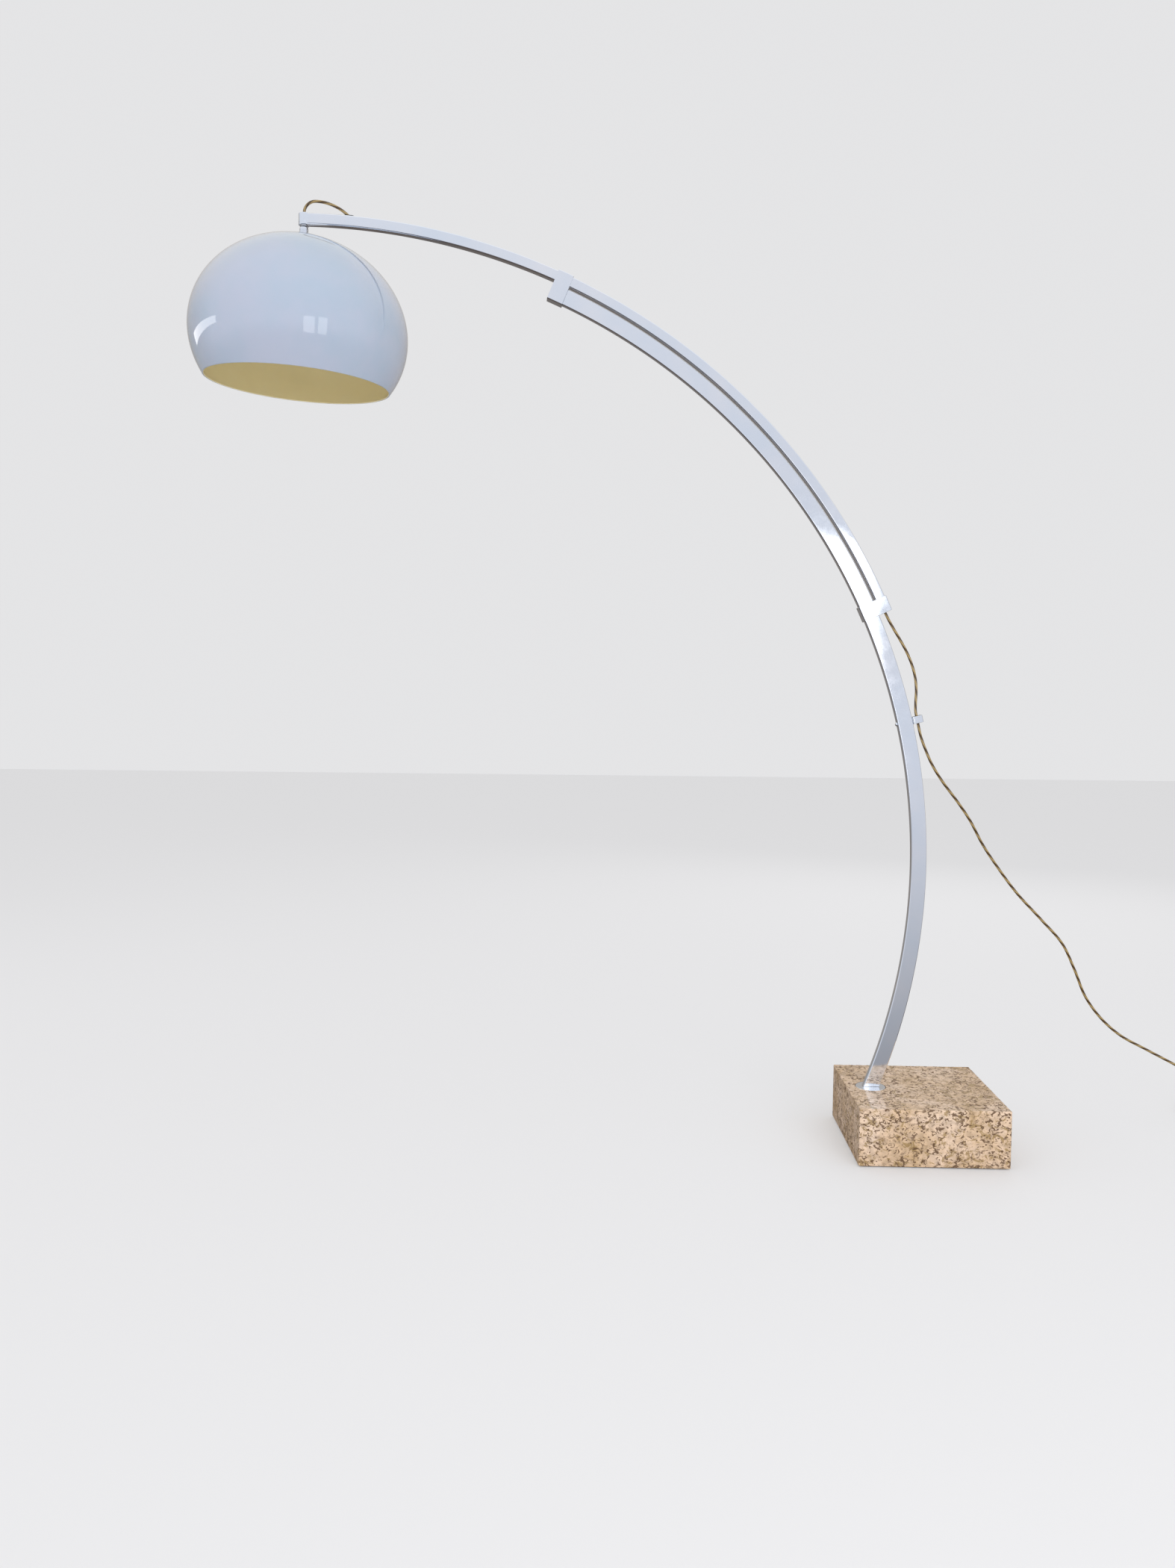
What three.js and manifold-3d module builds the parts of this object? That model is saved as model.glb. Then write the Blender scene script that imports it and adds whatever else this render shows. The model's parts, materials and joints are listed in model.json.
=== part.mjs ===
// Arc floor lamp: a square travertine block carries a chromed rectangular arc that swivels on it.
// A second, concentric arc slides along the first in two sleeve clamps, and an opal acrylic dome
// hangs from the end of the upper arc on a ball joint. The mains flex runs inside the upper arc.
//
// Millimetres, +Z up. The origin is the centre of the base's underside, +X is to the right along
// the base's front edge and +Y points to the back. The arm has a frame of its own: its X lies in
// the plane of the arc, its Y is the depth of the tubes, and its Z is up.

import * as THREE from "three";
import { mergeVertices } from "three/addons/utils/BufferGeometryUtils.js";
import Module from "manifold-3d";

const wasm = await Module();
wasm.setup();

// ---- driving dimensions ----------------------------------------------------------------

const GAP = 0.3; // clearance kept between pieces that touch

const BASE_SIDE = 280;
const BASE_TOP = 110;
const FELT_THICK = 1.5;

const FOOT_X = -92; // swivel axis of the arm on the base
const ARM_YAW = THREE.MathUtils.degToRad(6); // how far the arm is turned on its swivel

const LOWER_INNER_R = 1142; // radii of the tubes' inner and outer faces about the arc centre
const LOWER_OUTER_R = 1172;
const LOWER_DEPTH = 12;
const UPPER_INNER_R = 1176;
const UPPER_OUTER_R = 1196;
const UPPER_DEPTH = 16;
const TUBE_WALL = 1.5;
const LOWER_R = (LOWER_INNER_R + LOWER_OUTER_R) / 2;
const UPPER_R = (UPPER_INNER_R + UPPER_OUTER_R) / 2;

const ARC_Z = 545; // height of the common arc centre
const FOOT_ANGLE = Math.asin((BASE_TOP - ARC_Z) / LOWER_R);
const ARC_X = -LOWER_R * Math.cos(FOOT_ANGLE); // so that the arc passes through the swivel axis

const CLIP_DEG = 14; // stations along the arc, in degrees above the horizontal
const LOWER_CLAMP_DEG = 25.2;
const UPPER_CLAMP_DEG = 67.4;
const LOOP_EXIT_DEG = 87;
const BOSS_DEG = 90.9;

const CLAMP_LENGTH = 30;
const CLAMP_WALL = 1.5;
const CLAMP_PLAY = 0.5;

const CORD_R = 2.6;
const CORD_HOLE_R = 2.9;

const BOSS_R = 10.25;
const BALL_R = 8;
const BALL_PLAY = 0.3;
const BALL_DROP = 5.8; // ball centre below the upper tube's centre line
const TILT_REST = THREE.MathUtils.degToRad(4.96); // the dome hangs slightly out of level
const TILT_HEADING = THREE.MathUtils.degToRad(42.2); // direction of the tilt axis in the arm frame

const SHADE_R = 197.3; // widest radius of the dome
const SHADE_RISE = 171; // from the widest plane up to the top
const SHADE_RIM_R = 168.7;
const SHADE_WALL = 3;
const SHADE_TOP = -26.5; // below the ball centre

// ---- finishes --------------------------------------------------------------------------

function finish(color, roughness, metalness) {
  return new THREE.MeshStandardMaterial({ color, roughness, metalness });
}

const chrome = finish(0xd9dce6, 0.08, 1);
const steel = finish(0xa9abb0, 0.35, 1);
const brass = finish(0xc29a4b, 0.3, 1);
const travertine = finish(0xcdb295, 0.3, 0);
const felt = finish(0x4a4038, 0.95, 0);
const nylon = finish(0xe6e3da, 0.5, 0);
const blackPlastic = finish(0x1c1b1b, 0.4, 0);
const rubber = finish(0x2a2928, 0.8, 0);
const flex = finish(0xa98448, 0.35, 0);
const opal = finish(0xf4f2ee, 0.12, 0);
const porcelain = finish(0xf1eee6, 0.25, 0);
const bulbGlass = finish(0xf7f4ec, 0.2, 0);

// ---- geometry helpers ------------------------------------------------------------------

function solidOf(geometry) {
  const bare = geometry.clone();
  bare.deleteAttribute("normal");
  bare.deleteAttribute("uv");
  const merged = mergeVertices(bare);
  const vertProperties = new Float32Array(merged.attributes.position.array);
  const triVerts = new Uint32Array(merged.index.array);
  return new wasm.Manifold(new wasm.Mesh({ numProp: 3, vertProperties, triVerts }));
}

function geometryOf(solid) {
  const mesh = solid.getMesh();
  const geometry = new THREE.BufferGeometry();
  geometry.setAttribute("position", new THREE.BufferAttribute(mesh.vertProperties, 3));
  geometry.setIndex(new THREE.BufferAttribute(mesh.triVerts, 1));
  return geometry;
}

function cut(geometry, ...tools) {
  let solid = solidOf(geometry);
  for (const tool of tools) solid = solid.subtract(solidOf(tool));
  return geometryOf(solid);
}

function join(first, ...others) {
  let solid = solidOf(first);
  for (const other of others) solid = solid.add(solidOf(other));
  return geometryOf(solid);
}

// Solid of revolution about Z from [radius, height] pairs. A profile that starts and ends on the
// axis is solid there, and any other profile is closed into a ring.
function revolve(profile, segments = 16) {
  let area = 0;
  for (let i = 0; i < profile.length; i++) {
    const [r0, z0] = profile[i];
    const [r1, z1] = profile[(i + 1) % profile.length];
    area += r0 * z1 - r1 * z0;
  }
  const ordered = area > 0 ? [...profile] : [...profile].reverse();
  const onAxis = ordered.findIndex(([r]) => r === 0);
  const points = [...ordered];
  if (onAxis < 0) {
    points.push(ordered[0]);
  } else {
    while (!(points[0][0] === 0 && points[points.length - 1][0] === 0)) points.push(points.shift());
  }
  const outline = points.map(([r, z]) => new THREE.Vector2(r, z));
  return new THREE.LatheGeometry(outline, segments).rotateX(Math.PI / 2);
}

function ring(inner, outer, low, high, segments = 16) {
  return revolve([[inner, low], [outer, low], [outer, high], [inner, high]], segments);
}

function rod(radius, low, high, segments = 16) {
  return revolve([[0, low], [radius, low], [radius, high], [0, high]], segments);
}

function block(x0, x1, y0, y1, z0, z1) {
  const box = new THREE.BoxGeometry(x1 - x0, y1 - y0, z1 - z0);
  return box.translate((x0 + x1) / 2, (y0 + y1) / 2, (z0 + z1) / 2);
}

// Rectangle with rounded corners, centred on (cx, cy).
function roundedOutline(width, height, radius, cx = 0, cy = 0) {
  const shape = new THREE.Shape();
  const x = width / 2 - radius;
  const y = height / 2 - radius;
  const quarter = Math.PI / 2;
  shape.absarc(cx + x, cy - y, radius, -quarter, 0);
  shape.absarc(cx + x, cy + y, radius, 0, quarter);
  shape.absarc(cx - x, cy + y, radius, quarter, 2 * quarter);
  shape.absarc(cx - x, cy - y, radius, 2 * quarter, 3 * quarter);
  return shape;
}

function polygon(points) {
  return new THREE.Shape(points.map(([x, y]) => new THREE.Vector2(x, y)));
}

function circlePoints(radius, sides) {
  const points = [];
  for (let i = 0; i < sides; i++) {
    const angle = (i * 2 * Math.PI) / sides;
    points.push(new THREE.Vector2(radius * Math.cos(angle), radius * Math.sin(angle)));
  }
  return points;
}

// Prism of an outline that stands on z = low and reaches z = high.
function prism(shape, low, high, curveSegments = 2) {
  const options = { depth: high - low, bevelEnabled: false, curveSegments };
  return new THREE.ExtrudeGeometry(shape, options).translate(0, 0, low);
}

function hexNut(acrossFlats, hole, low, high) {
  const corner = acrossFlats / Math.sqrt(3);
  const body = new THREE.CylinderGeometry(corner, corner, high - low, 6).rotateX(Math.PI / 2);
  return cut(body.translate(0, 0, (low + high) / 2), rod(hole, low - 1, high + 1, 16));
}

// An arc about the origin in the XZ plane, anticlockwise from +X towards +Z.
class ArcPath extends THREE.Curve {
  constructor(radius, fromAngle, toAngle) {
    super();
    Object.assign(this, { radius, fromAngle, toAngle });
  }
  getPoint(t, target = new THREE.Vector3()) {
    const angle = this.fromAngle + (this.toAngle - this.fromAngle) * t;
    return target.set(this.radius * Math.cos(angle), 0, this.radius * Math.sin(angle));
  }
}

const rad = THREE.MathUtils.degToRad;

// Sweeps an outline along an arc: outline x is the depth and outline y is outwards.
function sweepArc(shape, radius, fromAngle, toAngle, steps) {
  const extrudePath = new ArcPath(radius, fromAngle, toAngle);
  return new THREE.ExtrudeGeometry(shape, { steps, extrudePath, curveSegments: 1 });
}

function smoothPath(points) {
  return new THREE.CatmullRomCurve3(points.map((p) => new THREE.Vector3(...p)), false, "centripetal");
}

// Round flex along a path, as an eight-sided tube.
function flexAlong(path, steps) {
  const section = new THREE.Shape(circlePoints(CORD_R, 8));
  return new THREE.ExtrudeGeometry(section, { steps, extrudePath: path });
}

function place(parent, name, geometry, material) {
  const mesh = new THREE.Mesh(geometry, material);
  mesh.name = name;
  parent.add(mesh);
  return mesh;
}

function frameAt(parent, x, y, z) {
  const frame = new THREE.Group();
  frame.position.set(x, y, z);
  parent.add(frame);
  return frame;
}

// ---- frames ----------------------------------------------------------------------------

const lamp = new THREE.Group();
const foot = frameAt(lamp, FOOT_X, 0, 0);
const arm = frameAt(lamp, FOOT_X, 0, 0);
arm.rotation.z = ARM_YAW;
const arc = frameAt(arm, ARC_X, 0, ARC_Z);

// A station on the arc: its X points outwards, its Z along the arm and its origin is the centre.
function station(degrees) {
  const frame = new THREE.Group();
  frame.rotation.y = -rad(degrees);
  arc.add(frame);
  return frame;
}

// Turns a tool that stands on Z so that it points along X or along Y.
const alongX = (geometry) => geometry.rotateY(Math.PI / 2);
const alongY = (geometry) => geometry.rotateX(-Math.PI / 2);

// ---- base ------------------------------------------------------------------------------

const DISC_R = 29;
const RECESS_R = 30;
const RECESS_FLOOR = 101.7;
const BORE_R = 11;
const WELL_R = 32;
const WELL_ROOF = 34;
const STONE_BEVEL = 1.5;

function makeBase() {
  const stoneBottom = FELT_THICK + GAP;
  const side = BASE_SIDE - 2 * STONE_BEVEL;
  const outline = roundedOutline(side, side, 1);
  const bevel = { bevelThickness: STONE_BEVEL, bevelSize: STONE_BEVEL, bevelSegments: 1 };
  const depth = BASE_TOP - stoneBottom - 2 * STONE_BEVEL;
  const stone = new THREE.ExtrudeGeometry(outline, { depth, curveSegments: 1, ...bevel });
  stone.translate(0, 0, stoneBottom + STONE_BEVEL);
  const recess = rod(RECESS_R, RECESS_FLOOR, BASE_TOP + 5, 32).translate(FOOT_X, 0, 0);
  const bore = rod(BORE_R, -5, BASE_TOP + 5).translate(FOOT_X, 0, 0);
  const well = rod(WELL_R, -5, WELL_ROOF, 32).translate(FOOT_X, 0, 0);
  place(lamp, "stone_base", cut(stone, recess, bore, well), travertine);

  const sheet = prism(roundedOutline(BASE_SIDE - 8, BASE_SIDE - 8, 4), 0, FELT_THICK);
  const opening = rod(WELL_R + 1, -5, 10, 24).translate(FOOT_X, 0, 0);
  place(lamp, "base_felt", cut(sheet, opening), felt);

  place(foot, "pivot_bush", ring(6.4, BORE_R - GAP, WELL_ROOF, RECESS_FLOOR), nylon);
  place(foot, "friction_washer", ring(6.4, 27, RECESS_FLOOR + GAP, 103.5, 24), rubber);
  place(foot, "base_washer", ring(6.4, 26, 30.7, WELL_ROOF - GAP, 24), steel);
}

// ---- foot of the arm -------------------------------------------------------------------

const DISC_BOTTOM = 103.8;
const DISC_TOP = 109.5;

function makeFoot() {
  const rim = [[0, DISC_BOTTOM], [DISC_R, DISC_BOTTOM], [DISC_R, DISC_TOP - 0.8]];
  const disc = revolve([...rim, [DISC_R - 0.8, DISC_TOP], [0, DISC_TOP]], 28);
  place(foot, "foot_disc", disc, chrome);
  place(foot, "pivot_bolt", rod(6, 6, DISC_BOTTOM - GAP), steel);
  place(foot, "spring_washer", ring(6.4, 12, 28, 30.4), steel);
  place(foot, "pivot_nut", hexNut(19, 6.3, 17.7, 27.7), steel);
  place(foot, "lock_nut", hexNut(19, 6.3, 9.4, 17.4), steel);
}

// Everything of a tube that would reach below the top of the foot disc.
function belowDisc() {
  const level = DISC_TOP + GAP - ARC_Z;
  return block(-ARC_X - 100, -ARC_X + 100, -50, 50, level - 100, level);
}

// ---- tubes -----------------------------------------------------------------------------

function tubeOutline(width, depth, corner) {
  const shape = roundedOutline(depth, width, corner);
  const hollow = new THREE.Path();
  const x = depth / 2 - TUBE_WALL;
  const y = width / 2 - TUBE_WALL;
  hollow.moveTo(-x, -y).lineTo(-x, y).lineTo(x, y).lineTo(x, -y).closePath();
  shape.holes.push(hollow);
  return shape;
}

const SCREW_R = 2;
const SCREW_HOLE_R = 2.4;

// A tool that cuts a screw hole through the back of the arm at one station.
function backHole(degrees, radius, holeR, fromY, toY) {
  const drill = alongY(rod(holeR, fromY, toY, 12));
  return drill.translate(radius, 0, 0).rotateY(-rad(degrees));
}

function makeLowerTube() {
  const outline = tubeOutline(LOWER_OUTER_R - LOWER_INNER_R, LOWER_DEPTH, 2);
  const endDeg = UPPER_CLAMP_DEG + 0.6;
  const tube = sweepArc(outline, LOWER_R, FOOT_ANGLE - rad(1), rad(endDeg), 36);
  const screwHole = backHole(UPPER_CLAMP_DEG, LOWER_R, SCREW_HOLE_R, 1, 20);
  const bolt = alongX(rod(2.3, LOWER_INNER_R - 10, LOWER_OUTER_R + 10, 12)).rotateY(-rad(CLIP_DEG));
  place(arc, "lower_arc_tube", cut(tube, belowDisc(), screwHole, bolt), chrome);

  const slack = 2 * (TUBE_WALL + GAP);
  const core = roundedOutline(LOWER_DEPTH - slack, LOWER_OUTER_R - LOWER_INNER_R - slack, 0.5);
  const spigot = sweepArc(core, LOWER_R, FOOT_ANGLE - rad(1), FOOT_ANGLE + rad(2), 2);
  place(arc, "foot_spigot", cut(spigot, belowDisc()), steel);

  const bung = sweepArc(core, LOWER_R, rad(endDeg - 0.4), rad(endDeg - 0.01), 2);
  place(arc, "lower_tube_bung", bung, blackPlastic);
}

const LOOP_SLOT = [16.8, 8.4]; // slot in the upper tube for the loop of flex: along the arm, across

function slotTool(length, width, low, high) {
  return prism(roundedOutline(length, width, width / 2 - 0.01), low, high, 2);
}

function makeUpperTube() {
  const outline = tubeOutline(UPPER_OUTER_R - UPPER_INNER_R, UPPER_DEPTH, 2.5);
  const startDeg = LOWER_CLAMP_DEG - 0.7;
  const tube = sweepArc(outline, UPPER_R, rad(startDeg), rad(BOSS_DEG), 28);
  const cope = rod(BOSS_R + GAP, UPPER_INNER_R - 20, UPPER_OUTER_R + 20, 32);
  cope.translate(UPPER_R * Math.cos(rad(BOSS_DEG)), 0, 0);
  const slot = slotTool(...LOOP_SLOT, UPPER_R + 2, UPPER_OUTER_R + 5);
  slot.rotateY(rad(90 - LOOP_EXIT_DEG));
  const screwHole = backHole(LOWER_CLAMP_DEG, UPPER_R, SCREW_HOLE_R, 1, 20);
  place(arc, "upper_arc_tube", cut(tube, cope, slot, screwHole), chrome);

  const slack = 2 * (TUBE_WALL + GAP);
  const core = roundedOutline(UPPER_DEPTH - slack, UPPER_OUTER_R - UPPER_INNER_R - slack, 0.5);
  core.holes.push(new THREE.Path(circlePoints(CORD_HOLE_R, 12).reverse()));
  const bush = sweepArc(core, UPPER_R, rad(startDeg + 0.01), rad(startDeg + 0.5), 1);
  place(arc, "tube_end_bush", bush, blackPlastic);
}

// ---- clamps ----------------------------------------------------------------------------

// One sleeve clamp round both tubes, its nylon liner and the screw in its back. The lower tube
// is thinner than the upper one, so the liner's cheeks fill the space beside it.
function makeClamp(prefix, degrees, screwRadius) {
  const frame = station(degrees);
  const openingLow = LOWER_INNER_R - CLAMP_PLAY;
  const openingHigh = UPPER_OUTER_R + CLAMP_PLAY;
  const openingDepth = UPPER_DEPTH + 2 * CLAMP_PLAY;
  const middle = (openingLow + openingHigh) / 2;
  const width = openingHigh - openingLow;
  const outer = roundedOutline(width + 2 * CLAMP_WALL, openingDepth + 2 * CLAMP_WALL, 2.2, middle, 0);
  const half = CLAMP_LENGTH / 2;
  const sleeve = prism(outer, -half, half);
  const y = openingDepth / 2;
  const opening = block(openingLow, openingHigh, -y, y, -half - 1, half + 1);
  const screwHole = alongY(rod(SCREW_HOLE_R, 1, 30, 12)).translate(screwRadius, 0, 0);
  place(frame, `${prefix}_clamp`, cut(sleeve, opening, screwHole), chrome);

  const cheekIn = LOWER_DEPTH / 2 + 0.4;
  const cheekOut = y - GAP;
  const webLow = LOWER_OUTER_R + 0.4;
  const webHigh = UPPER_INNER_R - 0.6;
  const liner = polygon([
    [openingLow + GAP, -cheekOut], [webHigh, -cheekOut], [webHigh, cheekOut],
    [openingLow + GAP, cheekOut], [openingLow + GAP, cheekIn], [webLow, cheekIn],
    [webLow, -cheekIn], [openingLow + GAP, -cheekIn],
  ]);
  const linerSolid = prism(liner, -half + 1, half - 1);
  const linerHole = alongY(rod(SCREW_HOLE_R, 1, 30, 12)).translate(screwRadius, 0, 0);
  place(frame, `${prefix}_clamp_liner`, cut(linerSolid, linerHole), nylon);

  const back = y + CLAMP_WALL + GAP;
  const shankEnd = screwRadius > LOWER_OUTER_R ? 5.6 : 3.6;
  const head = [[0, shankEnd], [SCREW_R, shankEnd], [SCREW_R, back], [3.8, back], [3.4, back + 1.6]];
  const screw = alongY(revolve([...head, [2, back + 2.4], [0, back + 2.7]], 12));
  place(frame, `${prefix}_clamp_screw`, screw.translate(screwRadius, 0, 0), steel);
}

// ---- cord clip -------------------------------------------------------------------------

const CLIP_REACH = 21; // how far the clip stands off the lower tube
const CLIP_CORD_R = 1183; // radius at which the flex passes the clip

function makeClip() {
  const frame = station(CLIP_DEG);
  const low = LOWER_OUTER_R + GAP;
  const high = low + CLIP_REACH;
  const middle = (low + high) / 2;
  const shell = prism(roundedOutline(CLIP_REACH, 12, 3, middle, 0), -7, 7);
  const window = block(low + 1.6, high - 1.6, -4.4, 4.4, -8, 8);
  const hole = alongX(rod(2.3, low - 2, low + 3, 12));
  place(frame, "cord_clip", cut(shell, window, hole), chrome);

  const bushLow = low + 1.6 + 3.2;
  const bush = block(bushLow, high - 1.6 - GAP, -4.1, 4.1, -6.6, 6.6);
  const bore = rod(CORD_HOLE_R, -8, 8, 16).translate(CLIP_CORD_R, 0, 0);
  place(frame, "clip_bush", cut(bush, bore), rubber);

  const headLow = low + 1.6 + GAP;
  const nutLow = LOWER_INNER_R - GAP;
  const shank = [[0, nutLow - 0.8], [2, nutLow - 0.8], [2, headLow], [3.6, headLow]];
  const bolt = revolve([...shank, [3.2, headLow + 2.2], [0, headLow + 2.4]], 16);
  place(frame, "clip_bolt", alongX(bolt), steel);

  const dome = [[2.3, nutLow], [3.3, nutLow], [3.3, nutLow - 1.6], [2, nutLow - 3.1]];
  const nut = revolve([...dome, [0, nutLow - 3.5], [0, nutLow - 1.2], [2.3, nutLow - 1.2]], 16);
  place(frame, "clip_nut", alongX(nut), chrome);
}

// ---- flex held by the arm --------------------------------------------------------------

function onArc(degrees, radius) {
  return [radius * Math.cos(rad(degrees)), 0, radius * Math.sin(rad(degrees))];
}

const BOW_START_DEG = LOWER_CLAMP_DEG - 0.7;
const CLIP_HALF_DEG = 0.35;

// Free bow of flex between the lower clamp and the cord clip: [degrees, radius] by hand.
const BOW_ROUTE = [
  [BOW_START_DEG, UPPER_R], [23.7, 1187], [22.8, 1189.5], [21.6, 1194], [20.3, 1198.5], [19, 1200.5],
  [17.8, 1199.5], [16.7, 1195], [15.7, 1188.5], [14.9, 1184], [CLIP_DEG + CLIP_HALF_DEG, CLIP_CORD_R],
];

function makeHeldFlex() {
  const innerFrom = rad(BOW_START_DEG + 0.015);
  const innerTo = rad(LOOP_EXIT_DEG - 2.2);
  const inside = new ArcPath(UPPER_R, innerFrom, innerTo);
  place(arc, "inner_flex", flexAlong(inside, 20), flex);
  const bow = smoothPath(BOW_ROUTE.map(([degrees, radius]) => onArc(degrees, radius)));
  place(arc, "flex_bow", flexAlong(bow, 18), flex);

  const grommet = station(LOOP_EXIT_DEG);
  const stem = slotTool(16.2, 7.8, -1.9, GAP);
  const flange = slotTool(19.4, 10.8, GAP, 1.6);
  const hole = slotTool(14, 6.4, -5, 5);
  const oval = cut(join(stem, flange), hole).rotateY(Math.PI / 2);
  place(grommet, "loop_grommet", oval.translate(UPPER_OUTER_R, 0, 0), blackPlastic);
}

// Loop of flex from the slot in the upper tube into the top of the boss:
// [distance before the boss axis, height above the upper tube's centre line] by hand.
const LOOP_ROUTE = [
  [125.6, 0], [116, 0], [107, 0.1], [100, 0.7], [94, 2.3], [88, 5.1], [81.4, 10], [75, 15.3],
  [67, 20.8], [57, 25.9], [47, 29.6], [37, 32.1], [28, 33.2], [21, 33.5], [14.5, 32.5],
  [8.7, 29.5], [4, 24.8], [1, 19], [0, 12.7], [0, 8], [0, 3],
];

// ---- ball joint ------------------------------------------------------------------------

const BOSS_X = ARC_X + UPPER_R * Math.cos(rad(BOSS_DEG));
const TUBE_END_Z = ARC_Z + UPPER_R * Math.sin(rad(BOSS_DEG));
const BALL_Z = TUBE_END_Z - BALL_DROP;
const BOSS_LOW = -4.5;
const BOSS_HIGH = BALL_DROP + 10.6;
const CUP_BORE_R = 7.6;

// Points on a circle about the ball centre, from one radius from the axis to another.
function ballCurve(ballRadius, fromR, toR, side, count) {
  const from = Math.acos(fromR / ballRadius);
  const to = Math.acos(toR / ballRadius);
  const points = [];
  for (let i = 0; i <= count; i++) {
    const angle = from + ((to - from) * i) / count;
    points.push([ballRadius * Math.cos(angle), side * ballRadius * Math.sin(angle)]);
  }
  return points;
}

function makeBoss() {
  const boss = frameAt(arm, BOSS_X, 0, BALL_Z);
  const socketR = BALL_R + BALL_PLAY;
  const mouthR = Math.sqrt(socketR ** 2 - BOSS_LOW ** 2);
  const socket = [
    ...ballCurve(socketR, mouthR, socketR, -1, 3),
    ...ballCurve(socketR, socketR, CUP_BORE_R, 1, 2).slice(1),
  ];
  const top = [[CUP_BORE_R, 12.8], [4, 12.8], [4, BOSS_HIGH]];
  const outside = [[BOSS_R - 0.8, BOSS_HIGH], [BOSS_R, BOSS_HIGH - 0.8], [BOSS_R, BOSS_LOW]];
  place(boss, "end_boss", revolve([...socket, ...top, ...outside], 24), chrome);

  const cupFace = ballCurve(socketR, CUP_BORE_R - GAP, 3.4, 1, 3);
  place(boss, "ball_cup", revolve([...cupFace, [3.4, 10], [CUP_BORE_R - GAP, 10]]), nylon);
  place(boss, "cup_spring", ring(4.2, CUP_BORE_R - GAP, 10.3, 12.4), steel);

  const flangeLow = BOSS_HIGH + GAP;
  const grommet = [[CORD_HOLE_R, 13], [3.7, 13], [3.7, flangeLow], [5.6, flangeLow]];
  const lip = [[5, flangeLow + 1.5], [CORD_HOLE_R, flangeLow + 1.5]];
  place(boss, "boss_grommet", revolve([...grommet, ...lip]), blackPlastic);

  const overArm = ([before, above]) => {
    const x = BOSS_X + before;
    return [x, 0, ARC_Z + Math.sqrt(UPPER_R ** 2 - (x - ARC_X) ** 2) + above];
  };
  place(arm, "flex_loop", flexAlong(smoothPath(LOOP_ROUTE.map(overArm)), 32), flex);
}

// ---- shade and lampholder --------------------------------------------------------------

const WIDEST_Z = SHADE_TOP - SHADE_RISE;

// How far the top of the dome has dropped at a radius.
function domeDrop(radius) {
  return SHADE_RISE * (1 - Math.sqrt(1 - (radius / SHADE_R) ** 2));
}

// Outline of the dome from its top hole to its rim, moved inwards by shrink.
function domeProfile(shrink, holeR, rimZ, count) {
  const radius = SHADE_R - shrink;
  const rise = SHADE_RISE - shrink;
  const start = Math.acos(holeR / radius);
  const end = Math.asin((rimZ - WIDEST_Z) / rise);
  const points = [];
  for (let i = 0; i <= count; i++) {
    const angle = start + ((end - start) * i) / count;
    points.push([radius * Math.cos(angle), WIDEST_Z + rise * Math.sin(angle)]);
  }
  return points;
}

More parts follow.
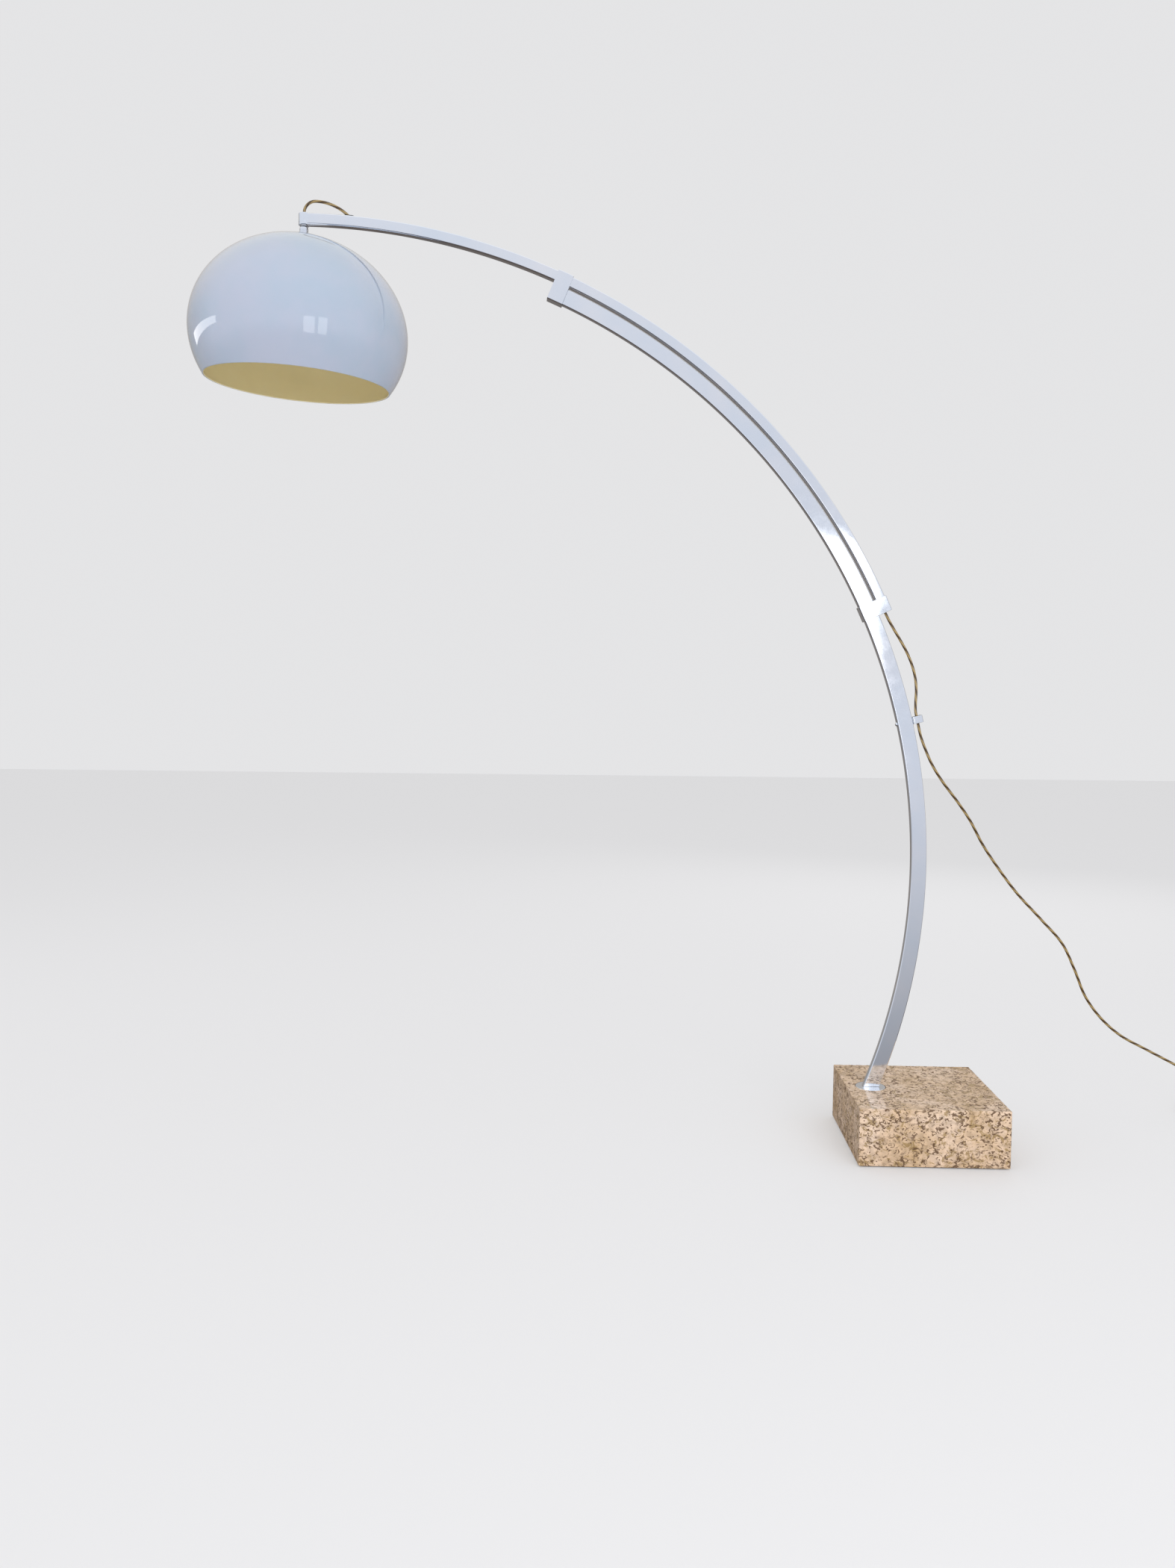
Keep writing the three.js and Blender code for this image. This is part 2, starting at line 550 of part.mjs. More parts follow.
function makeShade() {
  const head = frameAt(arm, BOSS_X, 0, BALL_Z);
  const axis = new THREE.Vector3(Math.cos(TILT_HEADING), Math.sin(TILT_HEADING), 0);
  head.quaternion.setFromAxisAngle(axis, TILT_REST);

  const waistR = 4.2;
  const stemR = 5;
  const stemEnd = -46;
  const ballBore = 2.9;
  const sphere = ballCurve(BALL_R, waistR, BALL_R, -1, 4);
  const crown = ballCurve(BALL_R, BALL_R, ballBore, 1, 4).slice(1);
  const stem = [[ballBore, stemEnd], [stemR, stemEnd], [stemR, -9.6], [waistR, -9.2]];
  place(head, "pivot_ball", revolve([...stem, ...sphere, ...crown]), steel);

  const plateThick = 1.6;
  const plateR = 41;
  const plateLow = SHADE_TOP + GAP;
  const sleeveLow = plateLow + plateThick + GAP;
  const shoulder = [[stemR + GAP, -7.8], [6.2, -7.9], [7.4, -8.5], [8, -9.6]];
  place(head, "neck_sleeve", revolve([...shoulder, [8, sleeveLow], [stemR + GAP, sleeveLow]]), chrome);

  const underRadii = [stemR + 0.4, 20, plateR];
  const under = underRadii.map((radius) => [radius, plateLow - domeDrop(radius)]);
  const over = under.map(([r, z]) => [r, z + plateThick]).reverse();
  place(head, "shade_cap", revolve([...under, ...over], 28), chrome);

  const rimZ = WIDEST_Z - SHADE_RISE * Math.sqrt(1 - (SHADE_RIM_R / SHADE_R) ** 2);
  const outside = domeProfile(0, stemR + 0.4, rimZ, 10);
  const inside = domeProfile(SHADE_WALL, stemR + 0.4, rimZ, 10).reverse();
  place(head, "shade", revolve([...outside, ...inside], 32), opal);

  place(head, "shade_gasket", ring(5.4, 20, -33, -31.5), rubber);
  place(head, "inner_washer", ring(5.4, 18, -34.8, -33.3), steel);
  place(head, "clamp_nut", hexNut(14, 5.3, -39.7, -35.1), brass);

  const capOut = [[5.3, -40], [12, -40], [16.6, -42.6], [19, -48], [19, -58]];
  const capIn = [[17.4, -58], [17.4, -48.6], [15.4, -44], [11.4, -41.6], [5.3, -41.6]];
  place(head, "holder_cap", revolve([...capOut, ...capIn]), blackPlastic);
  const skirt = [[19, -70], [22, -71], [22, -77], [19, -78]];
  const shell = [[15.7, -58.3], [19, -58.3], ...skirt, [19, -90], [17.6, -92], [15.7, -92]];
  place(head, "holder_shell", revolve(shell), blackPlastic);
  place(head, "socket_insert", ring(3.2, 15.3, -60, -50), porcelain);
  place(head, "thread_shell", ring(14, 15.3, -84, -60.3), brass);

  const contact = [[0, -61.2], [4.4, -61.2], [5.4, -63], [13.3, -66], [13.3, -88]];
  const hollow = [[12.4, -88], [12.4, -67], [4.4, -65], [0, -65]];
  place(head, "bulb_cap", revolve([...contact, ...hollow]), steel);

  const neck = [[13.2, -88.3], [14.6, -95], [21, -107], [27.5, -120], [30, -134]];
  const globe = [[27.6, -148.5], [18, -161], [0, -166]];
  const glassIn = [[0, -165], [17.3, -160.1], [26.6, -148.1], [29, -134]];
  const neckIn = [[26.5, -120.4], [20, -107.4], [13.6, -95.3], [12.2, -88.3]];
  place(head, "bulb_glass", revolve([...neck, ...globe, ...glassIn, ...neckIn]), bulbGlass);

  const coreTop = 4.5;
  const core = new THREE.LineCurve3(new THREE.Vector3(0, 0, coreTop), new THREE.Vector3(0, 0, -49.6));
  place(head, "stem_flex", flexAlong(core, 2), flex);
}

// ---- free flex on the floor side -------------------------------------------------------

const FLOOR_Z = CORD_R + 0.1;

// Where the flex leaves the underside of the clip, in the lamp's frame.
function clipExit() {
  const [x, , z] = onArc(CLIP_DEG - CLIP_HALF_DEG, CLIP_CORD_R);
  const along = ARC_X + x;
  return [FOOT_X + along * Math.cos(ARM_YAW), along * Math.sin(ARM_YAW), ARC_Z + z];
}

const SWITCH_Y = 240;
const SWITCH_X0 = 705;
const SWITCH_X1 = 777;
const SWITCH_ENTRY_Z = 9.2;

// From the clip down to the floor and round to the foot switch, by hand.
const MAINS_ROUTE = [
  clipExit(), [-9, 9, 800], [1, 10, 774], [15, 11, 744], [36, 14, 712], [70, 22, 670],
  [98, 33, 633], [127, 44, 585], [160, 54, 540], [203, 65, 487], [257, 76, 432], [304, 86, 382],
  [334, 97, 328], [362, 108, 270], [398, 118, 224], [444, 129, 185], [503, 140, 153],
  [568, 150, 119], [632, 158, 84], [680, 162, 56.5], [722, 164, 32.5], [758, 164.5, 14.5],
  [790, 164, 5], [808, 164, 3], [825, 164, FLOOR_Z], [844, 169.1, FLOOR_Z], [857.9, 183, FLOOR_Z],
  [863, 202, FLOOR_Z], [857.9, 221, FLOOR_Z], [844, 234.4, FLOOR_Z], [829, 239.2, 3.2],
  [817, SWITCH_Y, 5.4], [806, SWITCH_Y, 8.1], [798, SWITCH_Y, 9.1], [788, SWITCH_Y, SWITCH_ENTRY_Z],
  [SWITCH_X1 + GAP, SWITCH_Y, SWITCH_ENTRY_Z],
];

const COIL_X = 650;
const COIL_Y = 199;
const COIL_LOW = 0.9;
const COIL_INNER_R = 22.2;
const COIL_OUTER_R = 38.2;
const COIL_HEIGHT = 10.6; // two layers of flex

// From the switch to the edge of the coil.
const LINK_ROUTE = [
  [SWITCH_X0 - GAP, SWITCH_Y, SWITCH_ENTRY_Z], [694, SWITCH_Y, SWITCH_ENTRY_Z],
  [684, SWITCH_Y, 9.1], [673, 239.6, 7.2], [662, 238.4, 4.8],
];

const PLUG_X = 760;
const PLUG_Y = 196;
const PLUG_Z = 7.1;

// From the edge of the coil to the plug.
const TAIL_ROUTE = [
  [662, 158.5, 5.6], [676, 158.5, 3.1], [689, 162, FLOOR_Z], [700, 170, 3.3],
  [710, 181, 5], [720, 191, 6.6], [729, 195.5, PLUG_Z], [737, PLUG_Y, PLUG_Z],
  [PLUG_X - GAP, PLUG_Y, PLUG_Z],
];

function reliefCone(length, baseR, tipR) {
  const outside = [[baseR, 0], [baseR, 3], [tipR, length]];
  return alongX(revolve([[CORD_HOLE_R, 0], ...outside, [CORD_HOLE_R, length]], 16));
}

function makeFreeFlex() {
  place(lamp, "mains_flex", flexAlong(smoothPath(MAINS_ROUTE), 60), flex);
  place(lamp, "link_flex", flexAlong(smoothPath(LINK_ROUTE), 4), flex);
  place(lamp, "tail_flex", flexAlong(smoothPath(TAIL_ROUTE), 9), flex);
  const coil = ring(COIL_INNER_R, COIL_OUTER_R, COIL_LOW, COIL_LOW + COIL_HEIGHT, 24);
  place(lamp, "flex_coil", coil.translate(COIL_X, COIL_Y, 0), flex);
}

// ---- foot switch -----------------------------------------------------------------------

const SWITCH_SPLIT = SWITCH_ENTRY_Z;
const SWITCH_TOP = 21;
const BUTTON_R = 12;

function makeSwitch() {
  const length = SWITCH_X1 - SWITCH_X0;
  const middle = (SWITCH_X0 + SWITCH_X1) / 2;
  const frame = frameAt(lamp, middle, SWITCH_Y, 0);
  const outline = roundedOutline(length, 38, 14);
  const cavity = () => roundedOutline(length - 4, 34, 12);
  const bore = () => alongX(rod(CORD_HOLE_R, -60, 60, 12)).translate(0, 0, SWITCH_ENTRY_Z);

  const tray = prism(outline, 0, SWITCH_SPLIT - GAP / 2, 4);
  const base = cut(tray, prism(cavity(), 2, SWITCH_SPLIT + 1, 4), bore());
  place(frame, "switch_base", base, blackPlastic);

  const lid = prism(outline, SWITCH_SPLIT + GAP / 2, SWITCH_TOP, 4);
  const hole = rod(BUTTON_R + 0.5, SWITCH_SPLIT, SWITCH_TOP + 5);
  const cover = cut(lid, prism(cavity(), SWITCH_SPLIT - 1, SWITCH_TOP - 2, 4), hole, bore());
  place(frame, "switch_cover", cover, blackPlastic);

  const flangeR = BUTTON_R + 1.6;
  const flangeTop = SWITCH_TOP - 2 - GAP;
  const cap = [[0, flangeTop - 2], [flangeR, flangeTop - 2], [flangeR, flangeTop], [BUTTON_R, flangeTop]];
  const dome = [[BUTTON_R, 24], [BUTTON_R - 2, 25.4], [6, 26.2], [0, 26.4]];
  place(frame, "switch_button", revolve([...cap, ...dome]), blackPlastic);

  const entry = frameAt(lamp, SWITCH_X1 + GAP, SWITCH_Y, SWITCH_ENTRY_Z);
  place(entry, "switch_relief_in", reliefCone(20, 5, 3.7), rubber);
  const exit = frameAt(lamp, SWITCH_X0 - GAP, SWITCH_Y, SWITCH_ENTRY_Z);
  exit.rotation.z = Math.PI;
  place(exit, "switch_relief_out", reliefCone(20, 5, 3.7), rubber);
}

// ---- plug ------------------------------------------------------------------------------

function makePlug() {
  const frame = frameAt(lamp, PLUG_X, PLUG_Y, PLUG_Z);
  const side = [[0, 7], [10, 13], [26, 17.6], [36, 17.6]];
  const otherSide = side.map(([x, y]) => [x, -y]).reverse();
  const outline = polygon([...side, ...otherSide]);
  const body = prism(outline, -7, 7);
  const pinHoles = [-9.3, 9.3].map((y) => alongX(rod(2.3, 26, 40, 16)).translate(0, y, 0));
  place(frame, "plug_body", cut(body, ...pinHoles), blackPlastic);
  for (const [name, y] of [["plug_pin_front", -9.3], ["plug_pin_back", 9.3]]) {
    const pin = alongX(revolve([[0, 26.3], [2, 26.3], [2, 54], [1.4, 55], [0, 55]], 16));
    place(frame, name, pin.translate(0, y, 0), brass);
  }
  const relief = frameAt(lamp, PLUG_X - GAP, PLUG_Y, PLUG_Z);
  relief.rotation.z = Math.PI;
  place(relief, "plug_relief", reliefCone(22, 5.4, 3.7), rubber);
}

makeBase();
makeFoot();
makeLowerTube();
makeUpperTube();
makeClamp("upper", UPPER_CLAMP_DEG, LOWER_R);
makeClamp("lower", LOWER_CLAMP_DEG, UPPER_R);
makeClip();
makeHeldFlex();
makeBoss();
makeShade();
makeFreeFlex();
makeSwitch();
makePlug();

export default lamp;
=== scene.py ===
"""Looks of an arc floor lamp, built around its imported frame.

Sizes are in millimetres. Most pieces are drawn in a local frame of the lamp: ARC has its origin at
the common centre of the two arcs, with X outwards along the arm, Y the depth of the tubes and Z up,
BALL has its origin in the ball joint, and HEAD is BALL tilted the way the dome hangs. new_piece()
moves a drawn mesh into the row frame and turns it into metres.
"""

import json
import math

import bmesh
import bpy
from mathutils import Matrix, Vector, noise


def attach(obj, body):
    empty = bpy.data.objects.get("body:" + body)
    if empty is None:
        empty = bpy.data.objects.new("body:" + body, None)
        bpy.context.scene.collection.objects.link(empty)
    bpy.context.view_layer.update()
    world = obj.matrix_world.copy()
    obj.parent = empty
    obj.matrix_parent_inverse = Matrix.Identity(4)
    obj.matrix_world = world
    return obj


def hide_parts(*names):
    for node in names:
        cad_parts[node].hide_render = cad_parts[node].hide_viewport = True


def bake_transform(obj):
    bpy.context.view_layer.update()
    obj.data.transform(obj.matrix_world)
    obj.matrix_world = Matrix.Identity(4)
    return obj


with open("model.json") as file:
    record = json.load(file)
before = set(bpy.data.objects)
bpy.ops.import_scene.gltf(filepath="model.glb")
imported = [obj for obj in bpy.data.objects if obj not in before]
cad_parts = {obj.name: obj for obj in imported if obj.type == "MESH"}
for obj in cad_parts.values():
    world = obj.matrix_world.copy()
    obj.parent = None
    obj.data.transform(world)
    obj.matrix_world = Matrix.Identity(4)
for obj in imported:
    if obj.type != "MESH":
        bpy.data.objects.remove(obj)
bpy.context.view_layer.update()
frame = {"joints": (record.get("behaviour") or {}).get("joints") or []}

METRES = 0.001
JOINTS = {joint["name"]: joint for joint in frame["joints"]}

# ---- driving dimensions ------------------------------------------------------------------

BASE_SIDE = 280.0
BASE_TOP = 110.0
FELT_THICK = 1.5
GAP = 0.3

LOWER_INNER_R = 1142.0
LOWER_OUTER_R = 1172.0
LOWER_DEPTH = 12.0
UPPER_INNER_R = 1176.0
UPPER_OUTER_R = 1196.0
UPPER_DEPTH = 16.0
TUBE_WALL = 1.5
LOWER_R = (LOWER_INNER_R + LOWER_OUTER_R) / 2
UPPER_R = (UPPER_INNER_R + UPPER_OUTER_R) / 2

CLIP_DEG = 14.0
CLIP_CORD_R = 1183.0
LOWER_CLAMP_DEG = 25.2
UPPER_CLAMP_DEG = 67.4
LOOP_EXIT_DEG = 87.0
BOSS_DEG = 90.9

CORD_R = 2.6
CORD_HOLE_R = 2.9
FLOOR_CORD_Z = 2.7
SMALL_HOLE_R = 2.05
SCREW_HOLE_R = 2.1
BOSS_R = 10.25
BALL_R = 8.0
TILT_REST = math.radians(4.96)

SHADE_R = 197.3
SHADE_RISE = 171.0
SHADE_RIM_R = 168.7
SHADE_WALL = 3.0
SHADE_TOP = -26.5
WIDEST_Z = SHADE_TOP - SHADE_RISE

# ---- frames ------------------------------------------------------------------------------

UP = Vector((0, 0, 1))


def joint_point(name):
    """A joint's place, in millimetres."""
    return Vector(JOINTS[name]["pos_m"]) / METRES


ARM_DEPTH = -Vector(JOINTS["arm_slide"]["axis"]).normalized()
ARM_ALONG = ARM_DEPTH.cross(UP)


def frame_at(origin):
    """A frame at a point with X along the arm, Y its depth and Z up, as a matrix."""
    columns = Matrix((ARM_ALONG, ARM_DEPTH, UP)).transposed().to_4x4()
    return Matrix.Translation(origin) @ columns


ROW = Matrix.Identity(4)
FOOT = Matrix.Translation((joint_point("arm_swivel").x, 0, 0))
ARC = frame_at(joint_point("arm_slide"))
BALL = frame_at(joint_point("shade_tilt"))
TILT_AXIS = Vector(JOINTS["shade_tilt"]["axis"])
HEAD = (
    Matrix.Translation(joint_point("shade_tilt"))
    @ Matrix.Rotation(TILT_REST, 4, TILT_AXIS)
    @ frame_at(Vector((0, 0, 0)))
)
ARC_Z = joint_point("arm_slide").z
FOOT_ANGLE = math.asin((BASE_TOP - ARC_Z) / LOWER_R)


def station(degrees):
    """Frame at an angle of the arc: X points outwards from the arc's centre and Z up the arm."""
    return ARC @ Matrix.Rotation(-math.radians(degrees), 4, "Y")


ALONG_X = Matrix.Rotation(math.pi / 2, 4, "Y")
AGAINST_X = Matrix.Rotation(-math.pi / 2, 4, "Y")
ALONG_Y = Matrix.Rotation(-math.pi / 2, 4, "X")

# ---- camera ------------------------------------------------------------------------------


CAMERA_AT = (-0.5806, -2.3038, 0.8353)
CAMERA_HEADING_DEG = 1.846
CAMERA_DOWN_DEG = 3.37
CAMERA_ROLL_DEG = 0.5
CAMERA_LENS = 27.1
SENSOR_WIDTH = 36


def make_camera():
    data = bpy.data.cameras.new("camera")
    data.sensor_width = SENSOR_WIDTH
    data.lens = CAMERA_LENS
    data.clip_start = 0.05
    data.clip_end = 60
    camera = bpy.data.objects.new("camera", data)
    heading = Matrix.Rotation(math.radians(CAMERA_HEADING_DEG), 4, "Z")
    pitch = Matrix.Rotation(math.radians(90 - CAMERA_DOWN_DEG), 4, "X")
    roll = Matrix.Rotation(math.radians(CAMERA_ROLL_DEG), 4, "Z")
    camera.matrix_world = Matrix.Translation(CAMERA_AT) @ heading @ pitch @ roll
    bpy.context.scene.collection.objects.link(camera)
    bpy.context.scene.camera = camera


make_camera()

# ---- node helpers for materials and light ------------------------------------------------

FINISH_SUFFIX = "_finish"


def add_node(tree, kind, inputs=None, **settings):
    """Adds a node; inputs gives its sockets plain values, or sockets of other nodes to link from."""
    node = tree.nodes.new(kind)
    for key, value in settings.items():
        setattr(node, key, value)
    for key, value in (inputs or {}).items():
        if isinstance(value, bpy.types.NodeSocket):
            tree.links.new(value, node.inputs[key])
        else:
            node.inputs[key].default_value = value
    return node


def mixed(tree, factor, first, second, blend="MIX"):
    """A mix of two colours, each a socket or a plain (r, g, b)."""
    pair = [(*value, 1) if isinstance(value, tuple) else value for value in (first, second)]
    inputs = {0: factor, 6: pair[0], 7: pair[1]}
    return add_node(tree, "ShaderNodeMix", inputs, data_type="RGBA", blend_type=blend).outputs[2]


class Finish:
    """A material being built: its node tree, its shader and short ways to add nodes.

    The named inputs are shader sockets, with an underscore for each space.
    """

    def __init__(self, name, base_colour, **inputs):
        self.material = bpy.data.materials.new(name + FINISH_SUFFIX)
        self.material.use_nodes = True
        self.tree = self.material.node_tree
        self.shader = self.tree.nodes["Principled BSDF"]
        inputs["Base_Color"] = (*base_colour, 1)
        for key, value in inputs.items():
            self.shader.inputs[key.replace("_", " ")].default_value = value
        self.place = self.add("ShaderNodeTexCoord").outputs["Object"]
        self.material.diffuse_color = self.shader.inputs["Base Color"].default_value

    def add(self, kind, inputs=None, **settings):
        return add_node(self.tree, kind, inputs, **settings)

    def stretched(self, scale):
        return self.add("ShaderNodeMapping", {"Vector": self.place, "Scale": scale}).outputs["Vector"]

    def noise(self, scale, detail=4.0, roughness=0.55, distortion=0.0, vector=None):
        inputs = {"Vector": vector or self.place, "Scale": scale, "Detail": detail}
        inputs |= {"Roughness": roughness, "Distortion": distortion}
        return self.add("ShaderNodeTexNoise", inputs).outputs["Fac"]

    def cells(self, scale, feature="F1", vector=None):
        inputs = {"Vector": vector or self.place, "Scale": scale}
        return self.add("ShaderNodeTexVoronoi", inputs, feature=feature).outputs["Distance"]

    def warped(self, vector, scale, reach):
        """A vector pushed by noise along X, Y and Z, by between nothing and reach."""
        push = self.add("ShaderNodeTexNoise", {"Vector": vector, "Scale": scale}).outputs["Color"]
        inputs = {0: push, 1: (reach, reach, reach), 2: vector}
        return self.add("ShaderNodeVectorMath", inputs, operation="MULTIPLY_ADD").outputs[0]

    def ramp(self, value, *stops):
        """A colour ramp from (position, colour) stops, where a colour may be one grey value."""
        node = self.add("ShaderNodeValToRGB")
        node.color_ramp.interpolation = "EASE"
        elements = node.color_ramp.elements
        while len(elements) < len(stops):
            elements.new(0.5)
        for element, (position, colour) in zip(elements, stops):
            element.position = position
            grey = isinstance(colour, (int, float))
            element.color = (colour, colour, colour, 1) if grey else (*colour, 1)
        self.link(value, node.inputs["Fac"])
        return node.outputs["Color"]

    def mix(self, factor, first, second, blend="MIX"):
        return mixed(self.tree, factor, first, second, blend)

    def scaled(self, value, low, high, from_low=0.0, from_high=1.0):
        inputs = {"Value": value, "From Min": from_low, "From Max": from_high}
        inputs |= {"To Min": low, "To Max": high}
        return self.add("ShaderNodeMapRange", inputs).outputs["Result"]

    def math(self, operation, first, second=0.0):
        return self.add("ShaderNodeMath", {0: first, 1: second}, operation=operation).outputs[0]

    def link(self, source, target):
        self.tree.links.new(source, target)

    def colour(self, socket):
        self.link(socket, self.shader.inputs["Base Color"])

    def roughness(self, socket):
        self.link(socket, self.shader.inputs["Roughness"])

    def bump(self, height, strength, distance_mm):
        """Adds relief on top of any relief already there."""
        inputs = {"Strength": strength, "Distance": distance_mm * METRES, "Height": height}
        node = self.add("ShaderNodeBump", inputs)
        normal = self.shader.inputs["Normal"]
        if normal.is_linked:
            self.link(normal.links[0].from_socket, node.inputs["Normal"])
        self.link(node.outputs["Normal"], normal)


# ---- materials ---------------------------------------------------------------------------


def make_chrome():
    """Old mirror chrome: a little cloudy, with hairline wiping marks and a few tiny pits."""
    look = Finish("chrome", (0.82, 0.84, 0.9), Metallic=1.0, Roughness=0.06)
    cloud = look.noise(9, 5, 0.6)
    tint = look.mix(look.scaled(cloud, 0, 1, 0.3, 0.7), (0.93, 0.94, 0.98), (0.83, 0.89, 0.97))
    pits = look.ramp(look.cells(420), (0.0, 0.0), (0.05, 0.15), (0.09, 1.0))
    patch = look.ramp(look.noise(26, 3), (0.56, 0.0), (0.66, 1.0))
    freckle = look.math("MULTIPLY", look.math("SUBTRACT", 1.0, pits), patch)
    look.colour(look.mix(freckle, tint, (0.2, 0.13, 0.1)))
    smudge = look.scaled(look.noise(34, 6, 0.7), 0.04, 0.12, 0.35, 0.75)
    hairs = look.noise(1, 3, 0.8, vector=look.stretched((900, 2600, 160)))
    look.roughness(look.math("ADD", smudge, look.scaled(hairs, 0.0, 0.05, 0.45, 0.75)))
    return look.material


def clouded(name, base_colour, cloud, dark, light, gloss, relief, strength, depth_mm, **inputs):
    """A finish whose colour, and its roughness where gloss gives two values, vary with one noise."""
    look = Finish(name, base_colour, **inputs)
    tone = look.noise(*cloud)
    look.colour(look.ramp(tone, dark, light))
    if gloss:
        look.roughness(look.scaled(tone, *gloss, 0.3, 0.7))
    look.bump(look.noise(*relief), strength, depth_mm)
    return look.material


def make_steel():
    """Zinc-plated steel with turning marks."""
    look = Finish("steel", (0.6, 0.61, 0.63), Metallic=1.0, Roughness=0.3)
    cloud = look.noise(60, 5, 0.65)
    look.colour(look.ramp(cloud, (0.3, (0.46, 0.46, 0.45)), (0.7, (0.68, 0.69, 0.72))))
    look.roughness(look.scaled(cloud, 0.22, 0.42, 0.3, 0.7))
    look.bump(look.noise(1, 2, 0.6, vector=look.stretched((700, 700, 5200))), 0.12, 0.03)
    return look.material


def make_brass():
    return clouded(
        "brass", (0.72, 0.52, 0.24), (85, 5, 0.6), (0.3, (0.48, 0.31, 0.13)), (0.65, (0.82, 0.62, 0.3)),
        (0.2, 0.42), (900, 2), 0.08, 0.02, Metallic=1.0, Roughness=0.28,
    )


def make_felt():
    look = Finish("felt", (0.16, 0.13, 0.11), Roughness=0.97, Sheen_Weight=0.5, Sheen_Roughness=0.5)
    fibres = look.noise(1, 6, 0.75, 1.5, look.stretched((900, 520, 900)))
    look.colour(look.ramp(fibres, (0.3, (0.09, 0.07, 0.06)), (0.7, (0.24, 0.2, 0.17))))
    look.bump(fibres, 0.8, 0.4)
    return look.material


def make_nylon():
    return clouded(
        "nylon", (0.84, 0.81, 0.74), (45, 4), (0.3, (0.78, 0.74, 0.65)), (0.7, (0.88, 0.86, 0.8)),
        None, (1300, 2), 0.15, 0.05, Roughness=0.45,
        Subsurface_Weight=0.25, Subsurface_Radius=(0.003, 0.0025, 0.002),
    )


def make_rubber():
    """Black rubber, a little dusty."""
    return clouded(
        "rubber", (0.035, 0.033, 0.032), (120, 5, 0.7),
        (0.45, (0.022, 0.021, 0.021)), (0.8, (0.085, 0.078, 0.07)),
        (0.6, 0.85), (1500, 2), 0.2, 0.06, Roughness=0.72,
    )


def make_black_plastic():
    """Black plastic with a fine moulded grain, greyer where it is worn."""
    return clouded(
        "black_plastic", (0.022, 0.021, 0.021), (70, 4, 0.65),
        (0.4, (0.017, 0.016, 0.016)), (0.8, (0.045, 0.042, 0.04)),
        (0.3, 0.5), (1700, 2, 0.6), 0.25, 0.04, Roughness=0.38,
    )


def make_porcelain():
    look = Finish("porcelain", (0.86, 0.83, 0.76), Roughness=0.18)
    speck = look.ramp(look.cells(260), (0.0, 0.0), (0.12, 1.0))
    look.colour(look.mix(speck, (0.6, 0.54, 0.44), (0.87, 0.84, 0.78)))
    look.bump(look.noise(300, 3), 0.1, 0.1)
    return look.material


def make_bulb_glass():
    look = Finish(
        "bulb_glass", (0.9, 0.88, 0.83), Roughness=0.22, Subsurface_Weight=0.5,
        Subsurface_Radius=(0.01, 0.009, 0.008), Coat_Weight=0.5,
    )
    powder = look.noise(700, 3, 0.7)
    look.colour(look.ramp(powder, (0.35, (0.86, 0.84, 0.79)), (0.65, (0.93, 0.92, 0.88))))
    look.bump(powder, 0.05, 0.02)
    return look.material


def make_opal():
    """Opal acrylic: glossy outside and a little duller inside. The outside's blue-grey is painted cool
    light on white acrylic; the inside's warm tan is painted warm shade, partly the acrylic's own yellowing.
    """
    # The base colour is painted cool light: white acrylic given the blue-grey it shows under cool front
    # light.
    look = Finish(
        "opal_acrylic", (0.52, 0.56, 0.65), Roughness=0.03, IOR=1.53, Subsurface_Weight=0.2,
        Subsurface_Radius=(0.006, 0.005, 0.004), Coat_Weight=0.8,
    )
    inner = look.add("ShaderNodeAttribute", attribute_name="inner").outputs["Fac"]
    cloud = look.noise(6, 4, 0.6)
    # Outside: painted cool light on white. Inside: painted warm shade, partly yellowing.
    outside_painted_cool_light = look.ramp(cloud, (0.3, (0.44, 0.53, 0.64)), (0.7, (0.5, 0.54, 0.65)))
    inside_yellowing_and_painted_shade = look.ramp(cloud, (0.3, (0.9, 0.8, 0.5)), (0.7, (0.93, 0.84, 0.55)))
    look.colour(look.mix(inner, outside_painted_cool_light, inside_yellowing_and_painted_shade))
    wiped = look.scaled(look.noise(40, 5, 0.7), 0.012, 0.03, 0.35, 0.7)
    look.roughness(look.math("ADD", wiped, look.scaled(inner, 0.0, 0.36)))
    look.bump(look.noise(14, 2), 0.03, 0.5)
    return look.material


CORE_LAY_M = 0.028


def make_flex_pvc():
    """Clear gold-brown PVC over two twisted cores, with U round the flex and V along it. The colour follows
    the cores: dark in the grooves between them, which is painted shade, and lighter on the cores
    themselves.
    """
    look = Finish(
        "flex_pvc", (0.25, 0.165, 0.058), Roughness=0.28, IOR=1.5, Coat_Weight=0.6,
        Coat_Roughness=0.12, Subsurface_Weight=0.3, Subsurface_Radius=(0.0012, 0.0009, 0.0004),
    )
    where = look.add("ShaderNodeUVMap", uv_map="UVMap").outputs["UV"]
    split = look.add("ShaderNodeSeparateXYZ", {0: where})
    lay = look.math("MULTIPLY", split.outputs["Y"], 2 * math.pi / CORE_LAY_M)
    turn = look.math("ADD", look.math("MULTIPLY", split.outputs["X"], 4 * math.pi), lay)
    cores = look.scaled(look.math("SINE", turn), 0, 1, -1, 1)
    # The cores' tone through the PVC, with painted shade in the grooves between the cores.
    shade = look.ramp(
        cores, (0.05, (0.06, 0.03, 0.01)), (0.5, (0.26, 0.17, 0.06)), (0.95, (0.42, 0.3, 0.12))
    )
    grime = look.ramp(look.noise(38, 5, 0.7), (0.45, 1.0), (0.75, 0.72))
    look.colour(look.mix(1.0, shade, grime, "MULTIPLY"))
    look.roughness(look.scaled(look.noise(150, 4), 0.2, 0.42, 0.3, 0.7))
    look.bump(cores, 0.25, 0.12)
    return look.material


